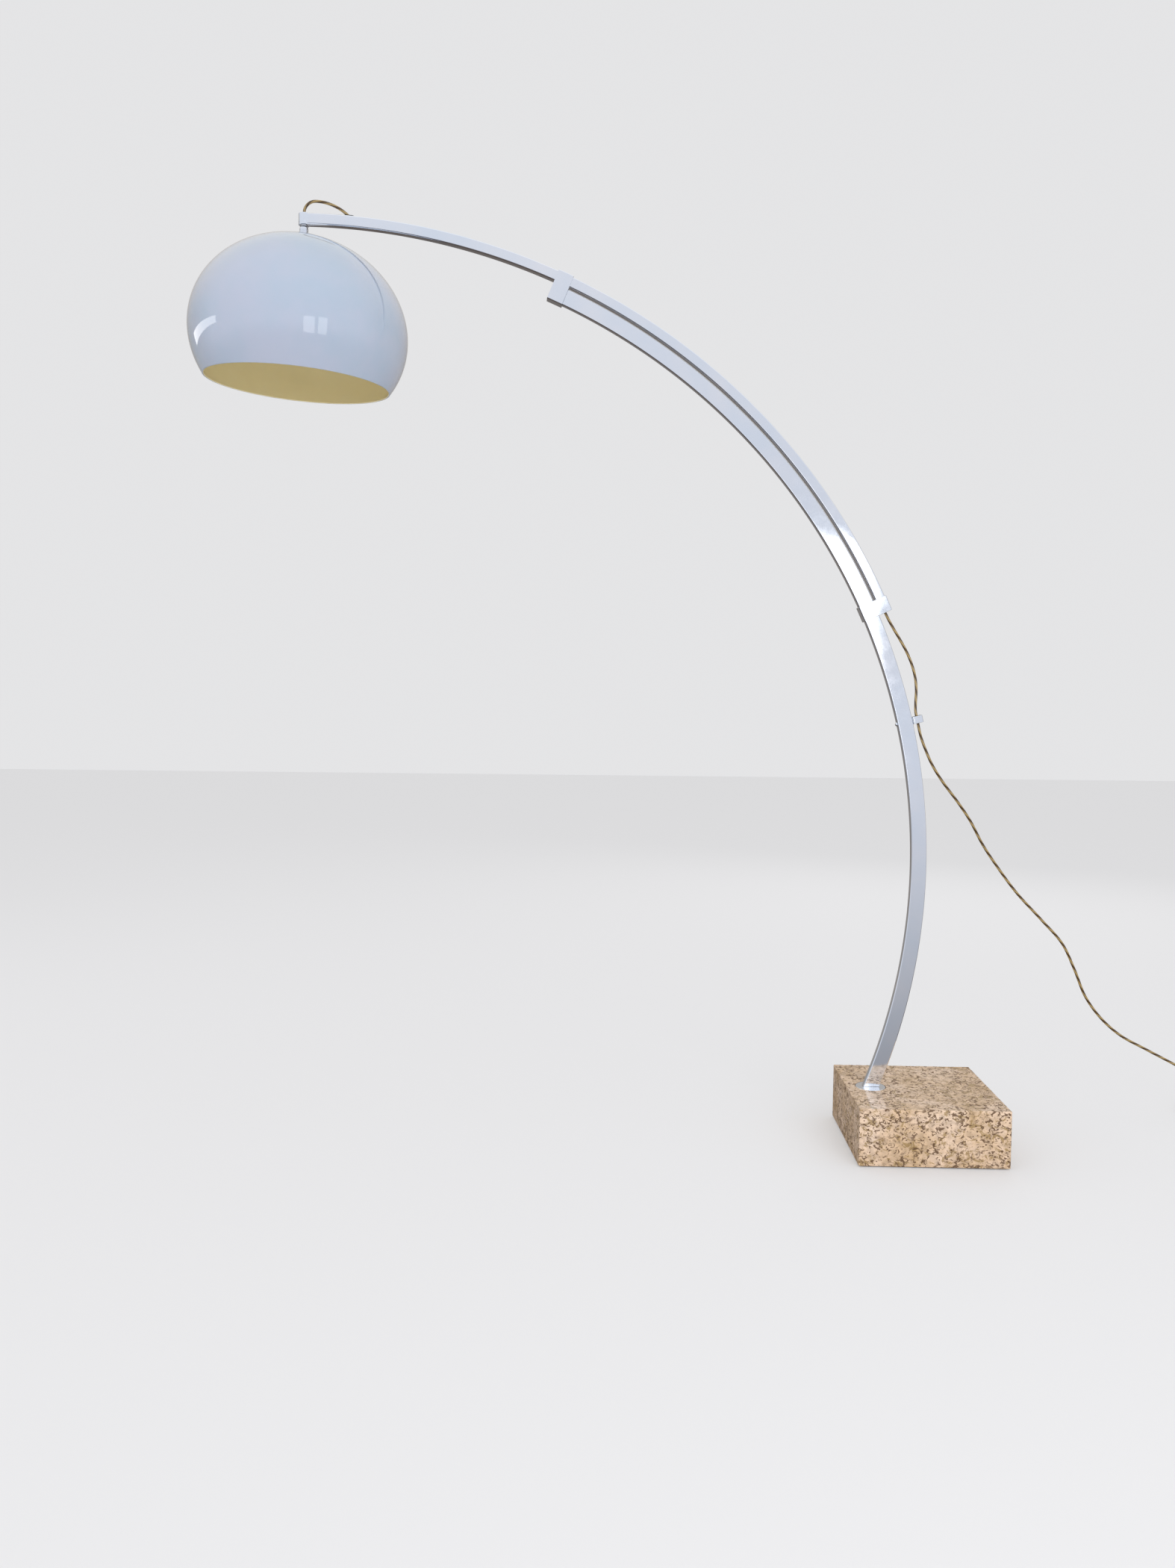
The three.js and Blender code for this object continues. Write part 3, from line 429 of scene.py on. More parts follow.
def make_travertine():
    """Polished travertine: pinkish beige with tan clouds, dark worm-shaped marks and small pits."""
    look = Finish("travertine", (0.62, 0.47, 0.36), Roughness=0.1, IOR=1.56)
    bedded = look.stretched((1, 1, 1.25))
    cloud = look.noise(13, 5, 0.6, 0.5, bedded)
    body = look.ramp(
        cloud,
        (0.3, (0.6, 0.41, 0.23)),
        (0.45, (0.74, 0.53, 0.35)),
        (0.6, (0.83, 0.62, 0.45)),
        (0.75, (0.89, 0.69, 0.53)),
    )
    flakes = look.cells(95, "SMOOTH_F1", look.warped(bedded, 40, 0.012))
    stone = look.mix(1.0, body, look.ramp(flakes, (0.15, 1.06), (0.75, 0.8)), "MULTIPLY")
    olive = look.ramp(look.noise(55, 5, 0.7, 1.2, bedded), (0.52, 0.0), (0.6, 0.8))
    stone = look.mix(olive, stone, (0.34, 0.22, 0.08))
    groups = look.ramp(look.noise(22, 4, 0.65, 0.8, bedded), (0.34, 0.35), (0.52, 1.0))
    worms = look.ramp(look.noise(88, 4, 0.6, 1.6, bedded), (0.55, 0.0), (0.58, 1.0))
    marks = look.math("MULTIPLY", groups, worms)
    dots = look.ramp(look.cells(115, vector=look.warped(bedded, 120, 0.004)), (0.17, 1.0), (0.23, 0.0))
    dots = look.math("MULTIPLY", dots, look.ramp(look.noise(48, 3), (0.44, 0.0), (0.52, 1.0)))
    dark = look.math("MAXIMUM", marks, dots)
    look.colour(look.mix(look.scaled(dark, 0, 0.92), stone, (0.13, 0.062, 0.022)))
    look.roughness(look.scaled(dark, 0.07, 0.5))
    look.bump(look.math("MULTIPLY", dark, -1.0), 0.7, 0.5)
    return look.material


CHROME = make_chrome()
STEEL = make_steel()
BRASS = make_brass()
FELT = make_felt()
NYLON = make_nylon()
RUBBER = make_rubber()
BLACK_PLASTIC = make_black_plastic()
PORCELAIN = make_porcelain()
BULB_GLASS = make_bulb_glass()
OPAL = make_opal()
FLEX_PVC = make_flex_pvc()
TRAVERTINE = make_travertine()

# ---- meshes ------------------------------------------------------------------------------


def new_piece(name, draft, material, body, nodes=(), place=ROW, crease_deg=32):
    """Makes a piece from a drawn mesh: moves it, shades it, hangs it on its body and hides the CAD nodes it
    stands for.
    """
    draft.transform(Matrix.Scale(METRES, 4) @ place)
    bmesh.ops.recalc_face_normals(draft, faces=draft.faces)
    mesh = bpy.data.meshes.new(name)
    draft.to_mesh(mesh)
    draft.free()
    mesh.materials.append(material)
    mesh.shade_smooth()
    mesh.set_sharp_from_angle(angle=math.radians(crease_deg))
    piece = bpy.data.objects.new(name, mesh)
    bpy.context.scene.collection.objects.link(piece)
    flat_faces = piece.modifiers.new("flat_faces", "WEIGHTED_NORMAL")
    flat_faces.keep_sharp = True
    flat_faces.weight = 100
    if body:
        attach(piece, body)
    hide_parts(*([nodes] if isinstance(nodes, str) else nodes))
    return piece


def ring_of(draft, points):
    """New vertices at the points, in their order."""
    return [draft.verts.new(point) for point in points]


def level(draft, outline, z):
    """New vertices along a flat outline at a height."""
    return ring_of(draft, [(x, y, z) for x, y in outline])


def bridge(draft, first, second):
    """Quads between two loops of as many points."""
    count = len(first)
    for i in range(count):
        j = (i + 1) % count
        draft.faces.new((first[i], first[j], second[j], second[i]))


def skin(draft, loops, ends="capped"):
    """Quads from each loop to the next, with the two ends capped or joined to each other."""
    following = loops[1:] + loops[:1] if ends == "joined" else loops[1:]
    for first, second in zip(loops, following):
        bridge(draft, first, second)
    if ends == "capped":
        draft.faces.new(loops[0])
        draft.faces.new(loops[-1])
    return draft


def on_circle(radius, angle):
    return (radius * math.cos(angle), radius * math.sin(angle))


AXIS_TOLERANCE = 1e-6


def lathe(profile, segments=64):
    """Solid of revolution about Z from (radius, height) points, closed on the axis or on itself."""
    draft = bmesh.new()
    loops = []
    for radius, height in profile:
        if radius < AXIS_TOLERANCE:
            loops.append([draft.verts.new((0, 0, height))])
            continue
        angles = [2 * math.pi * i / segments for i in range(segments)]
        loops.append(ring_of(draft, [(*on_circle(radius, a), height) for a in angles]))
    both_ends_on_axis = len(loops[0]) == 1 and len(loops[-1]) == 1
    pairs = list(zip(loops, loops[1:]))
    if not both_ends_on_axis:
        pairs.append((loops[-1], loops[0]))
    for first, second in pairs:
        if len(first) == 1 and len(second) == 1:
            continue
        if len(first) == 1 or len(second) == 1:
            tip, rim = (first[0], second) if len(first) == 1 else (second[0], first)
            for i in range(segments):
                draft.faces.new((rim[i], rim[(i + 1) % segments], tip))
        else:
            bridge(draft, first, second)
    return draft


NEARLY_STRAIGHT = math.radians(150)
MOST_OF_A_SIDE = 0.45


def eased(profile, radius=0.3, steps=2):
    """A (radius, height) profile with its corners away from the axis rounded off."""
    result = []
    count = len(profile)
    on_axis = profile[0][0] < AXIS_TOLERANCE
    for i, point in enumerate(profile):
        here = Vector(point)
        if on_axis and i in (0, count - 1):
            result.append(point)
            continue
        before = Vector(profile[i - 1]) - here
        after = Vector(profile[(i + 1) % count]) - here
        corner = before.angle(after, math.pi)
        if corner > NEARLY_STRAIGHT or here.x < AXIS_TOLERANCE:
            result.append(point)
            continue
        reach = min(radius, before.length * MOST_OF_A_SIDE, after.length * MOST_OF_A_SIDE)
        start = here + before.normalized() * reach
        end = here + after.normalized() * reach
        for k in range(steps + 1):
            t = k / steps
            spot = start * (1 - t) ** 2 + here * 2 * t * (1 - t) + end * t**2
            result.append((spot.x, spot.y))
    return result


def washer(inner, outer, low, high, edge=0.3):
    return eased([(inner, low), (outer, low), (outer, high), (inner, high)], edge)


def rod(radius, low, high, segments=24):
    """Upright cylinder with sharp ends, mostly for boring holes."""
    return lathe([(0, low), (radius, low), (radius, high), (0, high)], segments)


def rounded_outline(width, depth, corner, steps=5, centre=(0, 0)):
    """Rectangle with rounded corners, anticlockwise, as (x, y) points."""
    points = []
    x = width / 2 - corner
    y = depth / 2 - corner
    for quarter, (sx, sy) in enumerate(((1, -1), (1, 1), (-1, 1), (-1, -1))):
        start = (quarter - 1) * math.pi / 2
        for k in range(steps + 1):
            out_x, out_y = on_circle(corner, start + math.pi / 2 * k / steps)
            points.append((centre[0] + sx * x + out_x, centre[1] + sy * y + out_y))
    return points


def rounded_prism(width, depth, corner, low, high, edge=0.4, centre=(0, 0), steps=5):
    """Upright block with rounded corners and softened top and bottom edges."""
    draft = bmesh.new()
    loops = []
    rounds = 3
    levels = []
    for k in range(rounds + 1):
        angle = math.pi / 2 * k / rounds
        levels.append((low + edge * (1 - math.sin(angle)), edge * (1 - math.cos(angle))))
    levels = levels[::-1]
    levels += [(low + high - z, inset) for z, inset in levels[::-1]]
    for z, inset in levels:
        outline = rounded_outline(
            width - 2 * inset, depth - 2 * inset, max(corner - inset, 0.05), steps, centre
        )
        loops.append(level(draft, outline, z))
    return skin(draft, loops)


def sleeve(outer, inner, low, high, edge=0.4):
    """Upright tube between two outlines with as many points, with softened rims."""
    draft = bmesh.new()

    def loop(outline, z, inset):
        centre = sum((Vector(p) for p in outline), Vector((0, 0))) / len(outline)
        points = []
        for point in outline:
            away = Vector(point) - centre
            reach = Vector([a - math.copysign(min(inset, abs(a)), a) for a in away])
            points.append((*(centre + reach), z))
        return ring_of(draft, points)

    loops = [
        loop(outer, low, edge),
        loop(outer, low + edge * 0.3, edge * 0.3),
        loop(outer, low + edge, 0),
        loop(outer, high - edge, 0),
        loop(outer, high - edge * 0.3, edge * 0.3),
        loop(outer, high, edge),
        loop(inner, high, -edge * 0.3),
        loop(inner, high - edge * 0.5, 0),
        loop(inner, low + edge * 0.5, 0),
        loop(inner, low, -edge * 0.3),
    ]
    return skin(draft, loops, "joined")


def prism(outline, low, high, edge=0.25):
    """Upright solid of any outline, with its top and bottom edges bevelled."""
    draft = bmesh.new()
    bottom = level(draft, outline, low)
    top = level(draft, outline, high)
    bridge(draft, bottom, top)
    lids = [draft.faces.new(bottom), draft.faces.new(top)]
    rims = [rim for lid in lids for rim in lid.edges]
    if edge > 0:
        bmesh.ops.bevel(draft, geom=rims, offset=edge, segments=2, affect="EDGES", profile=0.5)
    return draft


def hexagon(across_flats):
    corner = across_flats / math.sqrt(3)
    return [on_circle(corner, math.radians(60 * i)) for i in range(6)]


def hex_bar(across_flats, low, high):
    """Sharp-edged hexagonal bar, for a nut's body or a socket to cut."""
    return prism(hexagon(across_flats), low, high, 0)


def carved(draft, *tools):
    """The drawn mesh less each tool, where a tool is a drawn mesh in the same frame."""

    def as_object(mesh_draft, name):
        mesh = bpy.data.meshes.new(name)
        bmesh.ops.recalc_face_normals(mesh_draft, faces=mesh_draft.faces)
        mesh_draft.to_mesh(mesh)
        mesh_draft.free()
        held = bpy.data.objects.new(name, mesh)
        bpy.context.scene.collection.objects.link(held)
        return held

    held = as_object(draft, "carving")
    cutters = [as_object(tool, "cutter") for tool in tools]
    for cutter in cutters:
        step = held.modifiers.new("cut", "BOOLEAN")
        step.operation = "DIFFERENCE"
        step.solver = "EXACT"
        step.object = cutter
    bpy.context.view_layer.update()
    evaluated = held.evaluated_get(bpy.context.evaluated_depsgraph_get())
    result = bmesh.new()
    result.from_mesh(evaluated.to_mesh())
    evaluated.to_mesh_clear()
    for used in [held, *cutters]:
        mesh = used.data
        bpy.data.objects.remove(used)
        bpy.data.meshes.remove(mesh)
    return result


def moved(draft, matrix):
    draft.transform(matrix)
    return draft


def stand_in(name, draft, material, body, place):
    """A piece that stands for the CAD node of the same name."""
    return new_piece(name, draft, material, body, name, place)


def turned(name, profile, material, body, place, segments=64):
    """A lathe-turned piece that stands for the CAD node of the same name."""
    return stand_in(name, lathe(profile, segments), material, body, place)


def hex_nut(across_flats, hole, low, high):
    """Nut with its corners turned off at both faces."""
    body = hex_bar(across_flats, low, high)
    corner = across_flats / math.sqrt(3)
    chamfer = corner * 0.12
    for side, flip in ((high, 1), (low, -1)):
        outline = [
            (corner * 1.3, side - flip * chamfer * 2.2),
            (corner * 1.3, side + flip * 2),
            (corner * 0.8, side + flip * 2),
            (corner * 0.86, side),
        ]
        body = carved(body, lathe(outline, 48))
    return carved(body, rod(hole, low - 1, high + 1, 32))


# ---- cord routes and tubes ---------------------------------------------------------------


def smooth_path(points, step=3.0):
    """A centripetal Catmull-Rom curve through the points, as points about step apart."""
    knots = [Vector(p) for p in points]
    knots = [2 * knots[0] - knots[1], *knots, 2 * knots[-1] - knots[-2]]
    path = []
    for p0, p1, p2, p3 in zip(knots, knots[1:], knots[2:], knots[3:]):
        t1 = (p1 - p0).length ** 0.5
        t2 = t1 + (p2 - p1).length ** 0.5
        t3 = t2 + (p3 - p2).length ** 0.5
        count = max(1, round((p2 - p1).length / step))
        for k in range(count):
            t = t1 + (t2 - t1) * k / count
            a1 = p0.lerp(p1, t / t1)
            a2 = p1.lerp(p2, (t - t1) / (t2 - t1))
            a3 = p2.lerp(p3, (t - t2) / (t3 - t2))
            b1 = a1.lerp(a2, t / t2)
            b2 = a2.lerp(a3, (t - t1) / (t3 - t1))
            path.append(b1.lerp(b2, (t - t1) / (t2 - t1)))
    path.append(knots[-2])
    return path


def tube_along(path, radius, sides=16):
    """Round tube along a path, with U round it and V its length in metres."""
    draft = bmesh.new()
    layer = draft.loops.layers.uv.new("UVMap")
    side = (path[1] - path[0]).orthogonal().normalized()
    loops = []
    lengths = [0.0]
    for i, point in enumerate(path):
        ahead = path[min(i + 1, len(path) - 1)] - path[max(i - 1, 0)]
        ahead.normalize()
        side = (side - ahead * side.dot(ahead)).normalized()
        other = ahead.cross(side)
        ring = []
        for k in range(sides):
            angle = 2 * math.pi * k / sides
            ring.append(point + (side * math.cos(angle) + other * math.sin(angle)) * radius)
        loops.append(ring_of(draft, ring))
        if i:
            lengths.append(lengths[-1] + (point - path[i - 1]).length * METRES)
    for i, (first, second) in enumerate(zip(loops, loops[1:])):
        for k in range(sides):
            n = (k + 1) % sides
            face = draft.faces.new((first[k], first[n], second[n], second[k]))
            corners = ((k, i), (k + 1, i), (k + 1, i + 1), (k, i + 1))
            for loop, (round_at, along) in zip(face.loops, corners):
                loop[layer].uv = (round_at / sides, lengths[along])
    for end in (loops[0], loops[-1]):
        draft.faces.new(end)
    return draft


def on_arc(degrees, radius):
    angle = math.radians(degrees)
    return ARC @ Vector((radius * math.cos(angle), 0, radius * math.sin(angle)))


CLIP_HALF_DEG = 0.35
CLIP_EXIT = on_arc(CLIP_DEG - CLIP_HALF_DEG, CLIP_CORD_R)
SWITCH_X0 = 705.0
SWITCH_X1 = 777.0
SWITCH_Y = 240.0
SWITCH_ENTRY_Z = 9.2
COIL_CENTRE = Vector((650.0, 199.0, 0.0))
PLUG_AT = Vector((760.0, 196.0, 7.1))

MAINS_ROUTE = [
    CLIP_EXIT, (-9, 9, 800), (1, 10, 774), (15, 11, 744), (36, 14, 712), (70, 22, 670),
    (98, 33, 633), (127, 44, 585), (160, 54, 540), (203, 65, 487), (257, 76, 432), (304, 86, 382),
    (334, 97, 328), (362, 108, 270), (398, 118, 224), (444, 129, 185), (503, 140, 153),
    (568, 150, 119), (632, 158, 84), (680, 162, 56.5), (722, 164, 32.5), (758, 164.5, 14.5),
    (790, 164, 5), (808, 164, 3), (825, 164, FLOOR_CORD_Z), (844, 169.1, FLOOR_CORD_Z),
    (857.9, 183, FLOOR_CORD_Z), (863, 202, FLOOR_CORD_Z), (857.9, 221, FLOOR_CORD_Z),
    (844, 234.4, FLOOR_CORD_Z), (829, 239.2, 3.2), (817, SWITCH_Y, 5.4), (806, SWITCH_Y, 8.1),
    (798, SWITCH_Y, 9.1), (788, SWITCH_Y, SWITCH_ENTRY_Z),
    (SWITCH_X1 + GAP, SWITCH_Y, SWITCH_ENTRY_Z),
]
LINK_ROUTE = [
    (SWITCH_X0 - GAP, SWITCH_Y, SWITCH_ENTRY_Z), (694, SWITCH_Y, SWITCH_ENTRY_Z),
    (684, SWITCH_Y, 9.1), (673, 239.6, 7.2), (662, 238.4, 4.8), (650, 236.4, 3.9),
    (637.5, 232.1, 3.6),
]
TAIL_ROUTE = [
    (650, 161.2, 8.3), (662, 158.4, 5.6), (676, 158.5, 3.1), (689, 162, FLOOR_CORD_Z),
    (700, 170, 3.3), (710, 181, 5), (720, 191, 6.6), (729, 195.5, 7.1), (737, 196, 7.1),
    (759.7, 196, 7.1),
]

COIL_PITCH = 5.3
COIL_OUTER_R = 35.5
COIL_LOW_Z = 3.55
COIL_START_DEG = 130
COIL_END_DEG = 1690
COIL_SHIFT_DEG = 150
COIL_INWARD_AT = (310, 670)
COIL_RISE_AT = 880
COIL_OUTWARD_AT = (1090, 1450)
COIL_STEP_DEG = 15


def coil_points():
    """Two layers of turns: inwards along the floor layer, up a layer, and out again."""

    def passed(angle, start):
        share = min(max((angle - start) / COIL_SHIFT_DEG, 0), 1)
        return (1 - math.cos(math.pi * share)) / 2

    points = []
    for angle in range(COIL_START_DEG, COIL_END_DEG + 1, COIL_STEP_DEG):
        inwards = sum(passed(angle, start) for start in COIL_INWARD_AT)
        outwards = sum(passed(angle, start) for start in COIL_OUTWARD_AT)
        radius = COIL_OUTER_R - COIL_PITCH * (inwards - outwards)
        z = COIL_LOW_Z + COIL_PITCH * passed(angle, COIL_RISE_AT)
        a = math.radians(angle)
        points.append(COIL_CENTRE + Vector((radius * math.cos(a), radius * math.sin(a), z)))
    return points


def cord_piece(name, path, body, nodes):
    """A length of the flex along a path."""
    return new_piece(name, tube_along(path, CORD_R), FLEX_PVC, body, nodes, crease_deg=60)


# ---- foot switch and plug ----------------------------------------------------------------


def ribbed_relief(base_r, tip_r, length, ribs):
    """Profile of a strain relief that tapers and has open grooves round it."""
    profile = [(CORD_R + 0.05, 0), (base_r, 0), (base_r, 3)]
    pitch = (length - 5) / ribs
    for k in range(ribs):
        start = 3 + k * pitch
        radius = base_r + (tip_r - base_r) * (start + pitch - 3) / (length - 3)
        depth = max(radius - 1.1, CORD_R + 0.5)
        profile += [(depth, start + 0.25), (depth, start + 0.4 * pitch)]
        profile += [(radius, start + 0.4 * pitch + 0.25), (radius, start + pitch)]
    return [*profile, (tip_r, length), (CORD_R + 0.05, length)]


def relief_piece(name, origin, turn, base_r, length, ribs):
    profile = eased(ribbed_relief(base_r, 3.7, length, ribs), 0.3)
    return turned(name, profile, RUBBER, "lower_arm", Matrix.Translation(origin) @ turn, 40)


def make_switch():
    """Inline foot switch: a tray and a lid with a seam between them, and a domed push button."""
    length = SWITCH_X1 - SWITCH_X0
    place = Matrix.Translation(((SWITCH_X0 + SWITCH_X1) / 2, SWITCH_Y, 0))
    seam = SWITCH_ENTRY_Z
    half_seam = 0.15
    top = 21.0
    button_r = 12.0
    wall = 2.0
    width = 38.0
    corner = 14.0

    def block(low, high, inset, edge):
        size = (length - 2 * inset, width - 2 * inset, corner - inset)
        return rounded_prism(*size, low, high, edge, steps=14)

    def bore():
        return moved(rod(CORD_R + 0.1, -60, 60), Matrix.Translation((0, 0, seam)) @ ALONG_X)

    tray = carved(block(0, seam - half_seam, 0, 1.2), block(wall, seam + 1, wall, 0.3), bore())
    base = new_piece("switch_tray", tray, BLACK_PLASTIC, "lower_arm", "switch_base", place)

    lid = block(seam + half_seam, top, 0, 3.2)
    inside = block(seam - 1, top - wall, wall, 0.5)
    well_r = button_r + 0.5
    lip_r = button_r + 1.3
    well = eased([(0, seam), (well_r, seam), (well_r, top - 0.6), (lip_r, top + 0.2)], 0.2)
    well += [(lip_r, top + 5), (0, top + 5)]
    dish = [(button_r + 3.6, top - 0.7), (button_r + 4.8, top + 3), (0, top + 3), (0, top - 0.7)]
    lid = carved(lid, inside, lathe(dish[::-1], 64), lathe(well, 64), bore())
    cover = new_piece("switch_lid", lid, BLACK_PLASTIC, "lower_arm", "switch_cover", place)

    flange = top - 2.3
    flange_r = button_r + 1.6
    dome = [(0, flange - 2), (flange_r, flange - 2), (flange_r, flange), (button_r, flange)]
    dome += [(button_r, 23.4), (button_r - 0.4, 24.1), (button_r - 1.8, 24.9), (9, 25.3), (8.6, 25.05)]
    dome += [(8.1, 25.05), (7.7, 25.5), (5.2, 26.1), (2.4, 26.35), (0, 26.4)]
    new_piece("switch_push_button", lathe(dome, 64), BLACK_PLASTIC, "button", "switch_button", place)

    entry = relief_piece("switch_relief_in", (SWITCH_X1 + GAP, SWITCH_Y, seam), ALONG_X, 5, 20, 4)
    leave = relief_piece("switch_relief_out", (SWITCH_X0 - GAP, SWITCH_Y, seam), AGAINST_X, 5, 20, 4)
    return [base, cover, entry, leave]


PIN_OFFSET = 9.3
PIN_R = 1.9


def make_plug():
    """Flat two-pin plug: a body that widens towards its face, two sleeved pins and a relief."""
    place = Matrix.Translation(PLUG_AT) @ ALONG_X
    stations = [
        (0, 5.6, 5.2), (0.5, 6.4, 5.9), (2, 7.4, 6.4), (6, 9.6, 6.8), (10, 12.6, 6.95), (15, 15, 7),
        (21, 16.6, 7), (26, 17.4, 7), (35, 17.6, 7), (35.7, 17.3, 6.7), (36, 16.6, 6),
    ]
    draft = bmesh.new()
    loops = []
    for along, half_width, half_thick in stations:
        corner = min(half_thick - 0.3, 5.2)
        outline = rounded_outline(2 * half_thick, 2 * half_width, corner, 8)
        loops.append(level(draft, outline, along))
    skin(draft, loops)
    pins = {
        "plug_pin_front": Matrix.Translation((0, -PIN_OFFSET, 0)),
        "plug_pin_back": Matrix.Translation((0, PIN_OFFSET, 0)),
    }
    cutters = [moved(rod(SMALL_HOLE_R, 30, 40, 32), at) for at in pins.values()]
    for side in (-1, 1):
        for along, half in ((20, 16.5), (23, 17.1), (26, 17.5), (29, 17.6)):
            at = Matrix.Translation((0, side * half, along)) @ ALONG_X
            cutters.append(moved(rounded_prism(3, 0.9, 0.4, -4.5, 4.5, 0.2), at))
    shell = carved(draft, *cutters)
    made = [new_piece("plug_shell", shell, BLACK_PLASTIC, "lower_arm", "plug_body", place)]
    pin = [(0, 31), (PIN_R, 31), (PIN_R, 53.6), (1.6, 54.5), (0.9, 54.95), (0, 55)]
    collar = eased([(PIN_R, 31), (2.0, 31), (2.0, 46), (PIN_R, 46)], 0.03, 1)
    for name, aside in pins.items():
        made.append(turned(name, pin, BRASS, "lower_arm", place @ aside, 32))
        draft = lathe(collar, 32)
        made.append(new_piece(f"{name}_sleeve", draft, BLACK_PLASTIC, "lower_arm", (), place @ aside))
    made.append(relief_piece("plug_relief", PLUG_AT - Vector((GAP, 0, 0)), AGAINST_X, 5.4, 22, 5))
    return made


# ---- free flex ---------------------------------------------------------------------------


def make_coil_tie():
    """A black twist tie round the coil, with its ends turned together outside."""
    angle = math.radians(205)
    centre = COIL_CENTRE + Vector((math.cos(angle), math.sin(angle), 0)) * (COIL_OUTER_R - COIL_PITCH)
    place = Matrix.Translation(centre) @ Matrix.Rotation(angle, 4, "Z") @ ALONG_Y
    middle = -(COIL_LOW_Z + COIL_PITCH / 2)
    outer = rounded_outline(17.4, 12.2, 3.2, 8, (0, middle))
    inner = rounded_outline(16.4, 11.2, 2.7, 8, (0, middle))
    new_piece("coil_tie", sleeve(outer, inner, -2.5, 2.5, 0.15), RUBBER, "lower_arm", (), place)


def make_free_flex():
    """The flex from the clip to the foot switch, and from the switch through its coil to the plug."""
    mains_path = smooth_path(MAINS_ROUTE, 4)
    mains = cord_piece("mains_cord", mains_path, "lower_arm", "mains_flex")
    make_switch()
    lead_path = smooth_path([*LINK_ROUTE, *coil_points(), *TAIL_ROUTE], 3)
    lead_nodes = ("link_flex", "flex_coil", "tail_flex")
    lead = cord_piece("plug_lead", lead_path, "lower_arm", lead_nodes)
    make_plug()
    make_coil_tie()


make_free_flex()

# ---- base --------------------------------------------------------------------------------

WELL_R = 32.0
WELL_ROOF = 34.0
BUSH_BORE_R = 11.0
PIVOT_HOLE_R = 6.4
RECESS_R = 30.0
RECESS_FLOOR = 101.7
DISC_BOTTOM = 103.8
DISC_TOP = 109.5


def worn(draft, amount, top):
    """Rubs the block's upper edges away unevenly, by about the amount."""
    side_band = BASE_SIDE / 2 - 4
    top_band = top - 5
    for vertex in draft.verts:
        x, y, z = vertex.co
        if max(abs(x), abs(y)) <= side_band or z < top_band:
            continue
        spot = Vector((x, y, z))
        broad = noise.noise(spot * 0.03)
        chip = max(0, noise.noise(spot * 0.16) - 0.15) * 2.2
        fine = noise.noise(spot * 0.5) * 0.25
        depth = amount * max(0, 0.35 + 0.4 * broad + chip + fine)
        sides = [-math.copysign(abs(across) > side_band, across) for across in (x, y)]
        inwards = Vector((*sides, -1))
        vertex.co += inwards.normalized() * depth


def fine_square(side, corner, cuts):
    """Square with rounded corners whose straight sides are cut into many."""
    rough = rounded_outline(side, side, corner, 4)
    outline = []
    for i, point in enumerate(rough):
        start = Vector(point)
        end = Vector(rough[(i + 1) % len(rough)])
        count = cuts if (end - start).length > side / 2 else 1
        outline += [start.lerp(end, k / count) for k in range(count)]
    return outline


def make_base():
    bottom = FELT_THICK + GAP
    draft = bmesh.new()
    chamfer = 1.2
    rounding = 1.5
    levels = [(bottom, chamfer), (bottom + chamfer, 0)]
    for a in (0, 0.5, 1.05, math.pi / 2):
        levels.append((BASE_TOP - rounding * (1 - math.sin(a)), rounding * (1 - math.cos(a))))
    loops = []
    for z, inset in levels:
        outline = fine_square(BASE_SIDE - 2 * inset, 2.0, 90)
        loops.append(level(draft, outline, z))
    skin(draft, loops)
    worn(draft, 0.5, BASE_TOP)

    lip_r = RECESS_R + 0.9
    recess = [(0, RECESS_FLOOR), (RECESS_R, RECESS_FLOOR), (RECESS_R, BASE_TOP - 0.8)]
    recess += [(lip_r, BASE_TOP + 0.1), (lip_r, BASE_TOP + 5), (0, BASE_TOP + 5)]
    bore = rod(BUSH_BORE_R, 20, RECESS_FLOOR + 5, 96)
    well = rod(WELL_R, -5, WELL_ROOF, 96)
    cutters = [moved(tool, FOOT) for tool in (lathe(recess, 96), bore, well)]
    stone = carved(draft, *cutters)
    new_piece("travertine_block", stone, TRAVERTINE, "base", "stone_base", crease_deg=50)

    felt_side = BASE_SIDE - 8
    sheet = prism(rounded_outline(felt_side, felt_side, 4, 6), 0, FELT_THICK, 0.3)
    hole = moved(rod(WELL_R + 1, -5, 10, 96), FOOT)
    new_piece("felt_sheet", carved(sheet, hole), FELT, "base", "base_felt")

    bush = washer(PIVOT_HOLE_R, 10.7, WELL_ROOF, RECESS_FLOOR)
    turned("pivot_bush", bush, NYLON, "base", FOOT)
    friction = washer(PIVOT_HOLE_R, 27, RECESS_FLOOR + GAP, DISC_BOTTOM - GAP)
    turned("friction_washer", friction, RUBBER, "base", FOOT)
    plate = washer(PIVOT_HOLE_R, 26, 30.7, WELL_ROOF - GAP, 0.6)
    turned("base_washer", plate, STEEL, "base", FOOT)


# ---- foot of the arm ---------------------------------------------------------------------


def make_foot():
    disc_r = RECESS_R - 1
    disc = [(0, DISC_BOTTOM), (disc_r, DISC_BOTTOM), (disc_r, DISC_TOP), (0, DISC_TOP)]
    turned("foot_disc", eased(disc, 0.9, 4), CHROME, "lower_arm", FOOT, 128)
    root_r = 5.2
    thread = [(0, 6), (root_r, 6)]
    thread += [(root_r + 0.7 * (k % 2), 6.6 + 0.6 * k) for k in range(40)]
    thread += [(6, 31), (6, DISC_BOTTOM - GAP), (0, DISC_BOTTOM - GAP)]
    turned("pivot_bolt", thread, STEEL, "lower_arm", FOOT, 48)
    turned("spring_washer", washer(PIVOT_HOLE_R, 12, 28, 30.4, 0.5), STEEL, "lower_arm", FOOT)
    for name, low, high in (("pivot_nut", 17.7, 27.7), ("lock_nut", 9.4, 17.4)):
        stand_in(name, hex_nut(19, 6.1, low, high), STEEL, "lower_arm", FOOT)


# ---- tubes -------------------------------------------------------------------------------


